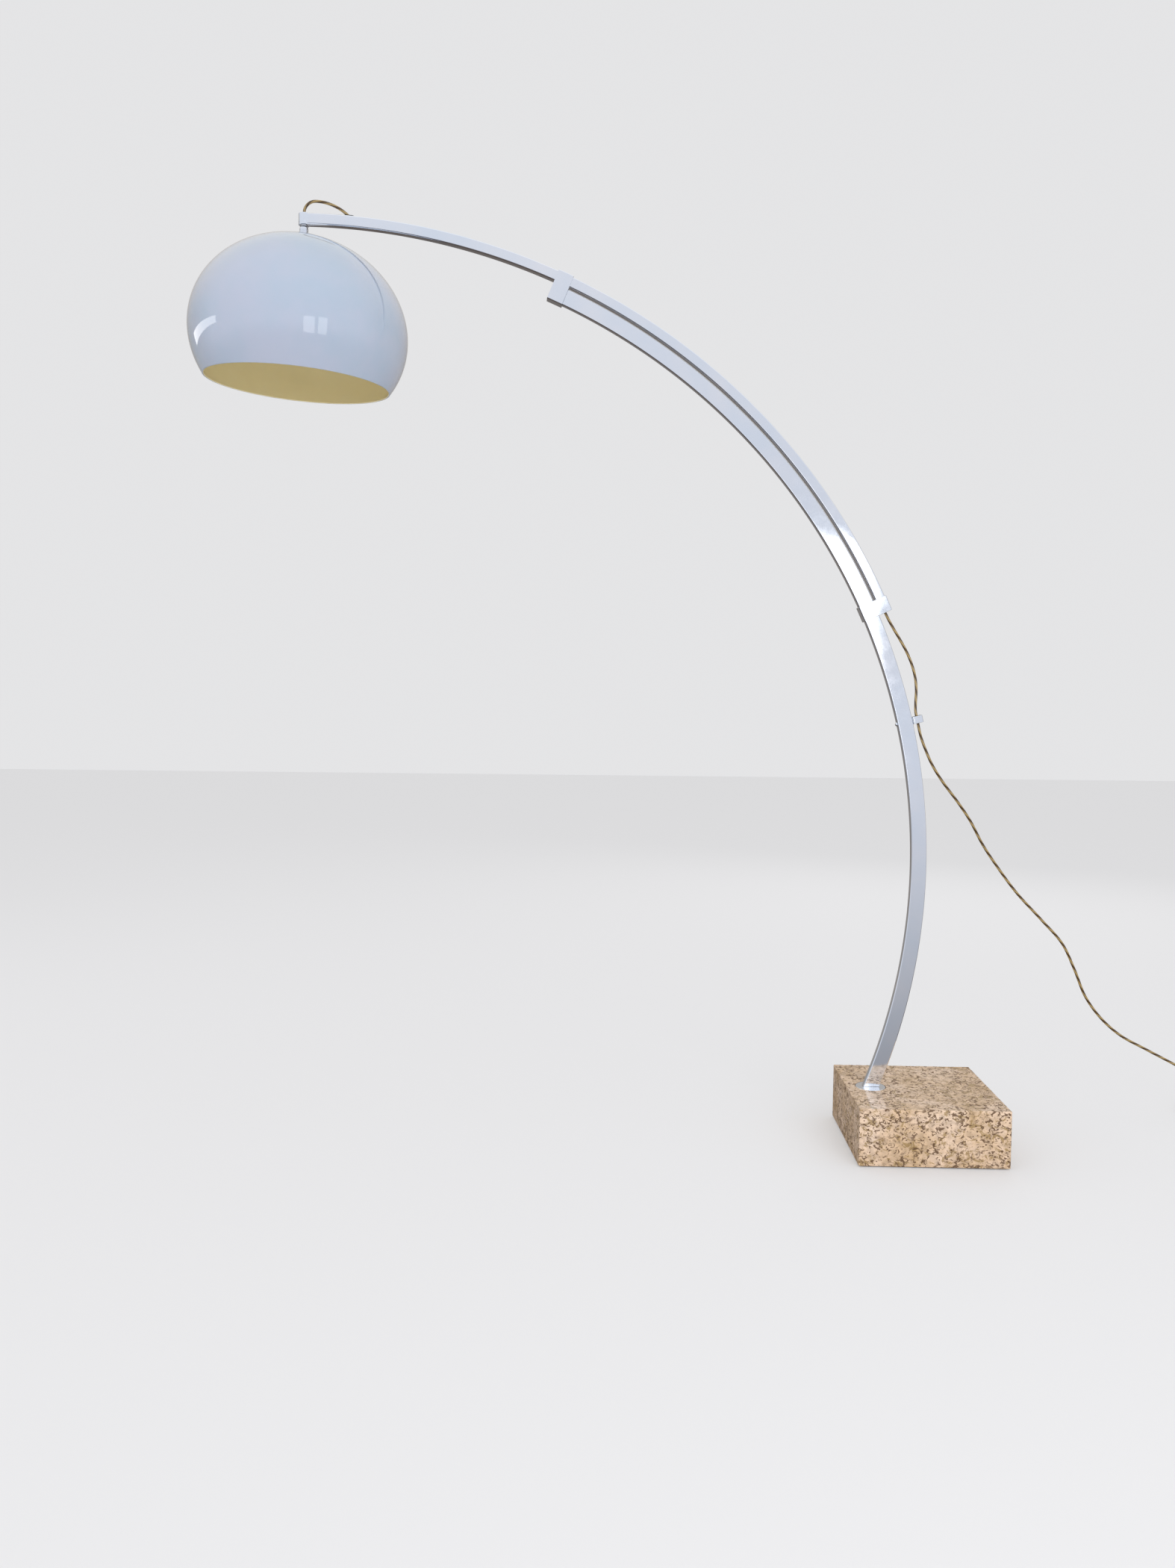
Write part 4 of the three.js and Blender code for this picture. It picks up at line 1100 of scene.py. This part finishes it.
def arc_tube(centre_r, width, depth, corner, start, end, steps):
    """Rectangular tube along the arc. start and end give the angle at which a line of the section
    begins and ends, from its radius and its depth."""
    draft = bmesh.new()
    easing = 0.25
    outer = rounded_outline(width, depth, corner, 5, (centre_r, 0))
    inner = rounded_outline(width - 2 * TUBE_WALL, depth - 2 * TUBE_WALL, 0.8, 5, (centre_r, 0))

    def loop(outline, share, inset, push):
        points = []
        for radius, y in outline:
            first = start(radius, y)
            last = end(radius, y)
            angle = first + (last - first) * share + push / centre_r
            out = radius - centre_r
            r = centre_r + out - math.copysign(min(inset, abs(out)), out)
            aside = y - math.copysign(min(inset, abs(y)), y)
            points.append((r * math.cos(angle), aside, r * math.sin(angle)))
        return ring_of(draft, points)

    loops = [loop(outer, 0, easing, 0), loop(outer, 0, 0, easing)]
    loops += [loop(outer, k / steps, 0, 0) for k in range(1, steps)]
    loops += [loop(outer, 1, 0, -easing), loop(outer, 1, easing, 0)]
    loops += [loop(inner, 1, 0, 0)]
    loops += [loop(inner, k / steps, 0, 0) for k in range(steps - 1, -1, -1)]
    return skin(draft, loops, "joined")


LOWER_END_DEG = UPPER_CLAMP_DEG + 0.6
UPPER_START_DEG = LOWER_CLAMP_DEG - 0.7


def core_outline(width, depth, centre_r):
    slack = 2 * (TUBE_WALL + GAP)
    return rounded_outline(width - slack, depth - slack, 0.5, 3, (centre_r, 0))


def arc_block(outline, from_angle, to_angle, steps, floor_z=None):
    """Solid of an outline along the arc, cut off square or at a height over the arc's centre."""
    draft = bmesh.new()
    loops = []
    for k in range(steps + 1):
        points = []
        for radius, y in outline:
            first = from_angle if floor_z is None else math.asin(floor_z / radius)
            angle = first + (to_angle - first) * k / steps
            points.append((radius * math.cos(angle), y, radius * math.sin(angle)))
        loops.append(ring_of(draft, points))
    return skin(draft, loops)


def screw_hole(degrees, radius):
    at = Matrix.Rotation(-math.radians(degrees), 4, "Y") @ Matrix.Translation((radius, 0, 0))
    return moved(rod(SCREW_HOLE_R, 1, 20), at @ ALONG_Y)


def make_lower_tube():
    floor_z = DISC_TOP + GAP - ARC_Z
    tube = arc_tube(
        LOWER_R,
        LOWER_OUTER_R - LOWER_INNER_R,
        LOWER_DEPTH,
        corner=2.0,
        start=lambda radius, y: math.asin(floor_z / radius),
        end=lambda radius, y: math.radians(LOWER_END_DEG),
        steps=150,
    )
    at = Matrix.Rotation(-math.radians(CLIP_DEG), 4, "Y") @ Matrix.Translation((LOWER_R, 0, 0))
    bolt_hole = moved(rod(SMALL_HOLE_R, -25, 25), at @ ALONG_X)
    tube = carved(tube, screw_hole(UPPER_CLAMP_DEG, LOWER_R), bolt_hole)
    stand_in("lower_arc_tube", tube, CHROME, "lower_arm", ARC)

    core = core_outline(LOWER_OUTER_R - LOWER_INNER_R, LOWER_DEPTH, LOWER_R)
    spigot = arc_block(core, 0, FOOT_ANGLE + math.radians(2), 3, floor_z)
    stand_in("foot_spigot", spigot, STEEL, "lower_arm", ARC)
    end = math.radians(LOWER_END_DEG)
    bung = arc_block(core, end - math.radians(0.4), end - math.radians(0.01), 1)
    stand_in("lower_tube_bung", bung, BLACK_PLASTIC, "lower_arm", ARC)


BOSS_AXIS_X = UPPER_R * math.cos(math.radians(BOSS_DEG))


def make_upper_tube():
    def meets_boss(radius, y):
        reach = math.sqrt((BOSS_R - 0.2) ** 2 - y**2)
        return math.acos((BOSS_AXIS_X + reach) / radius)

    tube = arc_tube(
        UPPER_R,
        UPPER_OUTER_R - UPPER_INNER_R,
        UPPER_DEPTH,
        corner=2.5,
        start=lambda radius, y: math.radians(UPPER_START_DEG),
        end=meets_boss,
        steps=130,
    )
    slot = prism(rounded_outline(16.8, 8.4, 4.19, 8), UPPER_R + 2, UPPER_OUTER_R + 5, 0)
    slot = moved(slot, Matrix.Rotation(math.radians(90 - LOOP_EXIT_DEG), 4, "Y"))
    tube = carved(tube, slot, screw_hole(LOWER_CLAMP_DEG, UPPER_R))
    stand_in("upper_arc_tube", tube, CHROME, "upper_arm", ARC)

    core = core_outline(UPPER_OUTER_R - UPPER_INNER_R, UPPER_DEPTH, UPPER_R)
    start = math.radians(UPPER_START_DEG)
    bush = arc_block(core, start + math.radians(0.01), start + math.radians(0.5), 1)
    at = Matrix.Rotation(-start, 4, "Y") @ Matrix.Translation((UPPER_R, 0, 0))
    bush = carved(bush, moved(rod(CORD_HOLE_R, -20, 20), at))
    stand_in("tube_end_bush", bush, BLACK_PLASTIC, "upper_arm", ARC)


# ---- clamps and clip ---------------------------------------------------------------------


def make_clamp(prefix, body, degrees, screw_radius):
    """Sleeve clamp round both tubes, its nylon liner and the socket screw in its back."""
    place = station(degrees)
    low = LOWER_INNER_R - 0.5
    high = UPPER_OUTER_R + 0.5
    middle = (low + high) / 2
    depth = UPPER_DEPTH + 1
    wall = 1.5
    half = 15.0
    outer = rounded_outline(high - low + 2 * wall, depth + 2 * wall, 2.2, 6, (middle, 0))
    inner = rounded_outline(high - low, depth, 0.7, 6, (middle, 0))
    drill = moved(rod(SCREW_HOLE_R, 1, 30), Matrix.Translation((screw_radius, 0, 0)) @ ALONG_Y)
    shell = carved(sleeve(outer, inner, -half, half, 0.5), drill)
    name = f"{prefix}_clamp"
    stand_in(name, shell, CHROME, body, place)

    cheek_in = LOWER_DEPTH / 2 + 0.1
    cheek_out = depth / 2
    web_low = LOWER_OUTER_R + 0.2
    web_high = UPPER_INNER_R - 0.2
    liner = [
        (low, -cheek_out), (web_high, -cheek_out), (web_high, cheek_out), (low, cheek_out),
        (low, cheek_in), (web_low, cheek_in), (web_low, -cheek_in), (low, -cheek_in),
    ]
    stand_in(f"{name}_liner", prism(liner, 1 - half, half - 1), NYLON, body, place)

    back = depth / 2 + wall
    shank = 5.6 if screw_radius > LOWER_OUTER_R else 3.6
    profile = [(0, shank), (2, shank), (2, back), (3.8, back), (3.8, back + 0.5), (3.4, back + 1.6)]
    profile += [(2.6, back + 2.3), (1.6, back + 2.6), (0, back + 2.7)]
    screw = carved(lathe(eased(profile, 0.2), 40), hex_bar(2.5, back + 0.8, back + 5))
    at = place @ Matrix.Translation((screw_radius, 0, 0)) @ ALONG_Y
    stand_in(f"{name}_screw", screw, STEEL, body, at)


def make_clip():
    """Rectangular keeper that stands off the lower tube, with a rubber bush round the flex."""
    place = station(CLIP_DEG)
    low = LOWER_OUTER_R + GAP
    reach = 21.0
    high = low + reach
    middle = (low + high) / 2
    wall = 1.6
    outer = rounded_outline(reach, 12, 3, 8, (middle, 0))
    inner = rounded_outline(reach - 2 * wall, 12 - 2 * wall, 1.4, 8, (middle, 0))
    hole = moved(rod(SMALL_HOLE_R, low - 2, low + 3), ALONG_X)
    shell = carved(sleeve(outer, inner, -7, 7, 0.4), hole)
    stand_in("cord_clip", shell, CHROME, "lower_arm", place)

    bush_low = low + wall + 3.2
    bush_high = high - wall
    centre = ((bush_low + bush_high) / 2, 0)
    bush = rounded_prism(bush_high - bush_low, 8.8, 1.4, -6.6, 6.6, 0.4, centre)
    bore = moved(rod(CORD_R + 0.1, -8, 8), Matrix.Translation((CLIP_CORD_R, 0, 0)))
    stand_in("clip_bush", carved(bush, bore), RUBBER, "lower_arm", place)

    head = low + wall
    nut = LOWER_INNER_R
    shank = [(0, nut - 0.8), (2, nut - 0.8), (2, head)]
    cap = [(3.6, head), (3.4, head + 1.6), (2.4, head + 2.3), (0, head + 2.5)]
    bolt = lathe(eased([*shank, *cap], 0.2), 32)
    bolt = carved(bolt, hex_bar(2.5, head + 0.9, head + 5))
    stand_in("clip_bolt", bolt, STEEL, "lower_arm", place @ ALONG_X)

    outside = [(3.2, nut - 0.01), (3.9, nut - 0.5), (3.9, nut - 1.0), (3.1, nut - 1.7)]
    outside += [(6, nut - 1.7), (6, nut - 0.01)]
    flats = carved(hex_bar(6.6, nut - 1.7, nut), lathe(outside, 32))
    crown = [(0, nut - 1.2), (2.9, nut - 1.2), (2.9, nut - 1.8), (2.5, nut - 2.7)]
    crown += [(1.6, nut - 3.3), (0, nut - 3.5)]
    stand_in("clip_nut", flats, CHROME, "lower_arm", place @ ALONG_X)
    new_piece("clip_nut_crown", lathe(crown, 32), CHROME, "lower_arm", (), place @ ALONG_X)


# ---- flex held by the arm ----------------------------------------------------------------

# Each point is an angle of the arc and a distance from the arc's centre.
BOW_ROUTE = [
    (UPPER_START_DEG, UPPER_R), (23.7, 1187), (22.8, 1189.5), (21.6, 1194), (20.3, 1198.5),
    (19, 1200.5), (17.8, 1199.5), (16.7, 1195), (15.7, 1188.5), (14.9, 1184),
    (CLIP_DEG + CLIP_HALF_DEG, CLIP_CORD_R),
]

# Each point is its distance before the boss's axis and its height over the upper tube's centre line.
LOOP_ROUTE = [
    (125.6, 0), (116, 0), (107, 0.1), (100, 0.7), (94, 2.3), (88, 5.1), (81.4, 10), (75, 15.3),
    (67, 20.8), (57, 25.9), (47, 29.6), (37, 32.1), (28, 33.2), (21, 33.5), (14.5, 32.5),
    (8.7, 29.5), (4, 24.8), (1, 19), (0, 12.7), (0, 8), (0, 3),
]


def over_arm(before, above):
    x = BOSS_AXIS_X + before
    return ARC @ Vector((x, 0, math.sqrt(UPPER_R**2 - x**2) + above))


def oval_ring(length, width, hole_length, hole_width, low, high, edge):
    outer = rounded_outline(length, width, width / 2 - 0.01, 12)
    inner = rounded_outline(hole_length, hole_width, hole_width / 2 - 0.01, 12)
    return sleeve(outer, inner, low, high, edge)


def make_held_flex():
    last_deg = LOOP_EXIT_DEG - 2.2
    inner_deg = [UPPER_START_DEG + 0.015 + k * 0.5 for k in range(121)]
    inner_deg = [d for d in inner_deg if d < last_deg] + [last_deg]
    cord_piece("inner_flex", [on_arc(d, UPPER_R) for d in inner_deg], "upper_arm", "inner_flex")

    bow_path = smooth_path([on_arc(d, r) for d, r in BOW_ROUTE], 3)
    bow = cord_piece("flex_bow", bow_path, None, "flex_bow")
    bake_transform(bow)

    loop_path = smooth_path([over_arm(*point) for point in LOOP_ROUTE], 3)
    loop = cord_piece("flex_loop", loop_path, "upper_arm", "flex_loop")

    place = station(LOOP_EXIT_DEG) @ Matrix.Translation((UPPER_OUTER_R, 0, 0)) @ ALONG_X
    hole = (14, 6.4)
    stem = oval_ring(16.2, 7.8, *hole, -1.9, 0.4, 0.3)
    stand_in("loop_grommet", stem, RUBBER, "upper_arm", place)
    flange = oval_ring(19.4, 10.8, *hole, 0.1, 1.6, 0.6)
    new_piece("loop_grommet_flange", flange, RUBBER, "upper_arm", (), place)


# ---- ball joint --------------------------------------------------------------------------


def ball_curve(ball_r, from_r, to_r, side, count):
    """Profile points on a sphere about the ball's centre between two distances from its axis."""
    start = math.acos(from_r / ball_r)
    end = math.acos(to_r / ball_r)
    angles = [start + (end - start) * i / count for i in range(count + 1)]
    return [(ball_r * math.cos(a), side * ball_r * math.sin(a)) for a in angles]


def make_boss():
    boss_low = -4.5
    boss_high = 16.4
    cup_bore = 7.6
    socket_r = BALL_R + 0.3
    mouth_r = math.sqrt(socket_r**2 - boss_low**2)
    inside = ball_curve(socket_r, mouth_r, socket_r, -1, 8)
    inside += ball_curve(socket_r, socket_r, cup_bore, 1, 4)[1:]
    inside += [(cup_bore, 12.8), (4, 12.8), (4, boss_high)]
    outside = [(BOSS_R - 1.4, boss_high), (BOSS_R - 0.5, boss_high - 0.35), (BOSS_R, boss_high - 1.2)]
    outside += [(BOSS_R, 0.4), (BOSS_R - 0.35, 0.1), (BOSS_R - 0.35, -0.5), (BOSS_R, -0.8)]
    outside += [(BOSS_R, boss_low + 0.6), (BOSS_R - 0.5, boss_low)]
    turned("end_boss", inside + outside, CHROME, "upper_arm", BALL, 96)

    cup = ball_curve(socket_r, cup_bore - GAP, 3.4, 1, 6)
    turned("ball_cup", [*cup, (3.4, 10), (cup_bore - GAP, 10)], NYLON, "ball_cup", BALL)
    turns = [(*on_circle(5.7, k * math.pi / 6), 10.9 + 0.9 * k / 24) for k in range(25)]
    spring = tube_along(smooth_path(turns, 1), 0.55, 10)
    stand_in("cup_spring", spring, STEEL, "upper_arm", BALL)
    flange = boss_high + GAP
    grommet = [(CORD_HOLE_R, 13), (3.7, 13), (3.7, flange), (5.6, flange), (5.6, flange + 1)]
    grommet += [(5, flange + 1.5), (CORD_HOLE_R, flange + 1.5)]
    turned("boss_grommet", grommet, RUBBER, "upper_arm", BALL)


# ---- shade and lampholder ----------------------------------------------------------------


def dome_profile(shrink, hole_r, rim_z, count):
    """The dome's outline from its top hole to its rim, moved inwards by shrink."""
    radius = SHADE_R - shrink
    rise = SHADE_RISE - shrink
    start = math.acos(hole_r / radius)
    end = math.asin((rim_z - WIDEST_Z) / rise)
    angles = [start + (end - start) * i / count for i in range(count + 1)]
    return [(radius * math.cos(a), WIDEST_Z + rise * math.sin(a)) for a in angles]


def dome_drop(radius):
    """How far the top of the dome has dropped at a radius."""
    return SHADE_RISE * (1 - math.sqrt(1 - (radius / SHADE_R) ** 2))


def make_shade():
    """One blown acrylic shell with a rounded rim; its inside is marked for the warmer tone, which is partly
    painted shade.
    """
    hole_r = 5.4
    rim_z = WIDEST_Z - SHADE_RISE * math.sqrt(1 - (SHADE_RIM_R / SHADE_R) ** 2)
    outside = dome_profile(0, hole_r, rim_z + 1.4, 72)
    inside = dome_profile(SHADE_WALL, hole_r, rim_z + 1.4, 72)[::-1]
    rim_middle = (outside[-1][0] + inside[0][0]) / 2
    half_wall = (outside[-1][0] - inside[0][0]) / 2
    turn = [math.pi * k / 8 for k in range(1, 8)]
    rim = [(rim_middle + half_wall * math.cos(a), rim_z + 1.4 - 1.4 * math.sin(a)) for a in turn]
    draft = lathe(outside + rim + inside, 192)
    layer = draft.verts.layers.float.new("inner")
    for vertex in draft.verts:
        across = math.hypot(vertex.co.x, vertex.co.y) / (SHADE_R - SHADE_WALL / 2)
        up = (vertex.co.z - WIDEST_Z) / (SHADE_RISE - SHADE_WALL / 2)
        within = 1 - math.hypot(across, up)
        vertex[layer] = min(max(0.5 + within * 120, 0), 1)
    stand_in("shade", draft, OPAL, "head", HEAD)


def make_head_metal():
    stem_r = 5.0
    throat_r = 4.2
    bore = CORD_HOLE_R
    sphere = ball_curve(BALL_R, throat_r, BALL_R, -1, 14) + ball_curve(BALL_R, BALL_R, bore, 1, 14)[1:]
    stem = [(bore, -46), (stem_r, -46), (stem_r, -9.6), (throat_r, -9.2)]
    turned("pivot_ball", stem + sphere, STEEL, "head", HEAD, 96)

    plate_thick = 1.6
    plate_low = SHADE_TOP + GAP
    plate_high = plate_low + plate_thick
    neck_in = stem_r + GAP
    neck = [(neck_in, -7.8), (6.2, -7.9), (7.4, -8.5), (8, -9.6), (8, -13), (7.7, -13.3), (7.7, -13.9)]
    neck += [(8, -14.2), (8, plate_high + 1), (8.6, plate_high + 0.3), (neck_in, plate_high + 0.3)]
    turned("neck_sleeve", neck, CHROME, "head", HEAD, 96)

    radii = [stem_r + 0.4, 12, 20, 27, 33, 38, 40.4]
    under = [(r, plate_low - dome_drop(r)) for r in radii]
    over = [(r, z + plate_thick) for r, z in under[::-1]]
    edge = [(41, under[-1][1] + 0.4), (41, under[-1][1] + 1.2)]
    turned("shade_cap", under + edge + over, CHROME, "head", HEAD, 128)

    turned("shade_gasket", washer(5.4, 20, -33, -31.5), RUBBER, "head", HEAD)
    turned("inner_washer", washer(5.4, 18, -34.8, -33.3), STEEL, "head", HEAD)
    stand_in("clamp_nut", hex_nut(14, 5.1, -39.7, -35.1), BRASS, "head", HEAD)


def make_lampholder():
    cap = [(5.3, -40), (12, -40), (14.8, -40.9), (16.9, -42.8), (18.3, -45.2), (19, -48), (19, -57)]
    cap += [(18.7, -57.6), (17.4, -58), (17.4, -48.6), (15.4, -44), (11.4, -41.6), (5.3, -41.6)]
    turned("holder_cap", cap, BLACK_PLASTIC, "head", HEAD, 72)
    shell = [(15.7, -58.3), (18.6, -58.3), (19, -58.8), (19, -70), (21.6, -70.7), (22, -71.3)]
    shell += [(22, -76.7), (21.6, -77.3), (19, -78), (19, -79.5)]
    for k in range(6):
        z = -80 - 1.7 * k
        shell += [(19, z), (18.5, z - 0.35), (18.5, z - 0.85), (19, z - 1.2)]
    shell += [(19, -90.6), (18.6, -91.5), (17.6, -92), (15.7, -92)]
    turned("holder_shell", shell, BLACK_PLASTIC, "head", HEAD, 72)
    turned("socket_insert", washer(3.2, 15.3, -60, -50), PORCELAIN, "head", HEAD)
    turned("thread_shell", washer(14, 15.3, -84, -60.3, 0.2), BRASS, "head", HEAD)

    contact = [(0, -61.2), (3.6, -61.3), (4.6, -62), (5.4, -63), (12.6, -66)]
    screw_cap = [(12.9 + 0.4 * math.cos(k * math.pi / 2), -66.6 - 0.9 * k) for k in range(20)]
    lining = [(12.9, -85), (12.9, -88), (12.3, -88), (12.2, -67), (4.4, -65), (0, -65)]
    turned("bulb_cap", contact + screw_cap + lining, STEEL, "head", HEAD, 72)

    neck = [(13.2, -88.3), (13.6, -91), (14.6, -95), (17.4, -101), (21, -107), (24.6, -113.4), (27.5, -120)]
    turns = [k * math.pi / 36 for k in range(18)]
    globe = [(30 * math.cos(a), -134 - 32 * math.sin(a)) for a in turns]
    outer = [*neck, (29.3, -127), *globe, (0, -166)]
    inner = [(max(r - 1, 0), z + (0.9 if r < 26 and z < -140 else 0)) for r, z in outer[::-1]]
    inner[0] = (0, -165)
    turned("bulb_glass", outer + inner[:-1] + [(12.2, -88.3)], BULB_GLASS, "head", HEAD, 96)

    core = [HEAD @ Vector((0, 0, 4.5 - k * 2.7)) for k in range(21)]
    cord_piece("stem_flex", core, "head", "stem_flex")


make_base()
make_foot()
make_lower_tube()
make_upper_tube()
make_clamp("upper", "lower_arm", UPPER_CLAMP_DEG, LOWER_R)
make_clamp("lower", "upper_arm", LOWER_CLAMP_DEG, UPPER_R)
make_clip()
make_held_flex()
make_boss()
make_shade()
make_head_metal()
make_lampholder()

# ---- floor, light and surroundings -------------------------------------------------------

WHITE = (1.0, 1.0, 1.0)
LAMP_MIDDLE = (-0.6, 0, 0.8)
SHADE_MIDDLE = (-1.12, -0.28, 1.49)
SEEN_BACKGROUND = (0.78, 0.78, 0.79)
FLOOR_HALF_SIDE = 14000
FLOOR_DROP = 0.5

def make_floor():
    draft = bmesh.new()
    bmesh.ops.create_grid(draft, x_segments=1, y_segments=1, size=FLOOR_HALF_SIDE)
    draft.transform(Matrix.Scale(METRES, 4) @ Matrix.Translation((0, 0, -FLOOR_DROP)))
    mesh = bpy.data.meshes.new("floor")
    draft.to_mesh(mesh)
    draft.free()
    floor = bpy.data.objects.new("floor", mesh)
    bpy.context.scene.collection.objects.link(floor)
    look = Finish(
        "floor", (0.6, 0.6, 0.61), Roughness=0.9, Emission_Strength=0.22,
        Emission_Color=(1, 1, 1, 1),
    )
    mesh.materials.append(look.material)
    floor.visible_glossy = False


def area_light(name, place, target, size, power, colour=WHITE, seen_in_gloss=False):
    data = bpy.data.lights.new(name, "AREA")
    data.shape = "RECTANGLE"
    data.size, data.size_y = size
    data.energy = power
    data.color = colour
    light = bpy.data.objects.new(name, data)
    light.location = place
    light.rotation_euler = (Vector(target) - Vector(place)).to_track_quat("-Z", "Y").to_euler()
    light.visible_glossy = seen_in_gloss
    bpy.context.scene.collection.objects.link(light)


def make_lights():
    """Soft boxes only; the front pair and the side strip show in glossy surfaces."""
    area_light("key", (0.7, -3.7, 1.5), LAMP_MIDDLE, (2.6, 1.8), 37, (0.97, 0.98, 1.0))
    area_light("fill", (-3.4, -2.6, 2.4), LAMP_MIDDLE, (2.4, 2.4), 8)
    area_light("back", (1.2, 3.6, 2.4), LAMP_MIDDLE, (2.6, 2.0), 14, (1.0, 0.99, 0.97))
    area_light("top", (-0.4, 0.4, 4.2), LAMP_MIDDLE, (4, 4), 8)
    glossy = {"seen_in_gloss": True}
    area_light("side_strip", (-4.1, 0.2, 1.75), SHADE_MIDDLE, (2.4, 0.35), 5, **glossy)
    area_light("box_left", (0.13, -3.0, 0.98), SHADE_MIDDLE, (0.62, 1.15), 3.2, **glossy)
    area_light("box_right", (0.78, -2.62, 1.02), SHADE_MIDDLE, (0.5, 1.15), 2.6, **glossy)


def make_world():
    """A plain studio surround: pale to the camera, dimmer low down and behind for the rest."""
    world = bpy.data.worlds.new("studio")
    world.use_nodes = True
    bpy.context.scene.world = world
    tree = world.node_tree
    tree.nodes.clear()

    def ease(socket, low, high):
        inputs = {"Value": socket, "From Min": low, "From Max": high}
        node = add_node(tree, "ShaderNodeMapRange", inputs, interpolation_type="SMOOTHSTEP")
        return node.outputs["Result"]

    direction = add_node(tree, "ShaderNodeTexCoord").outputs["Generated"]
    parts = add_node(tree, "ShaderNodeSeparateXYZ", {0: direction})
    height = parts.outputs["Z"]
    front = mixed(tree, ease(height, -0.5, 0.0), (0.1, 0.085, 0.08), (0.68, 0.7, 0.76))
    front = mixed(tree, ease(height, 0.1, 1.0), front, (0.95, 0.95, 0.96))
    rear = mixed(tree, ease(height, -0.45, 0.1), (0.1, 0.08, 0.07), (0.36, 0.34, 0.32))
    rear = mixed(tree, ease(height, 0.1, 0.8), rear, (0.85, 0.84, 0.82))
    studio = mixed(tree, ease(parts.outputs["Y"], -0.25, 0.35), front, rear)
    camera_ray = add_node(tree, "ShaderNodeLightPath").outputs["Is Camera Ray"]
    seen = mixed(tree, camera_ray, studio, SEEN_BACKGROUND)
    background = add_node(tree, "ShaderNodeBackground", {"Color": seen})
    add_node(tree, "ShaderNodeOutputWorld", {"Surface": background.outputs[0]})


make_floor()
make_lights()
make_world()
bpy.context.scene.view_settings.view_transform = "Standard"
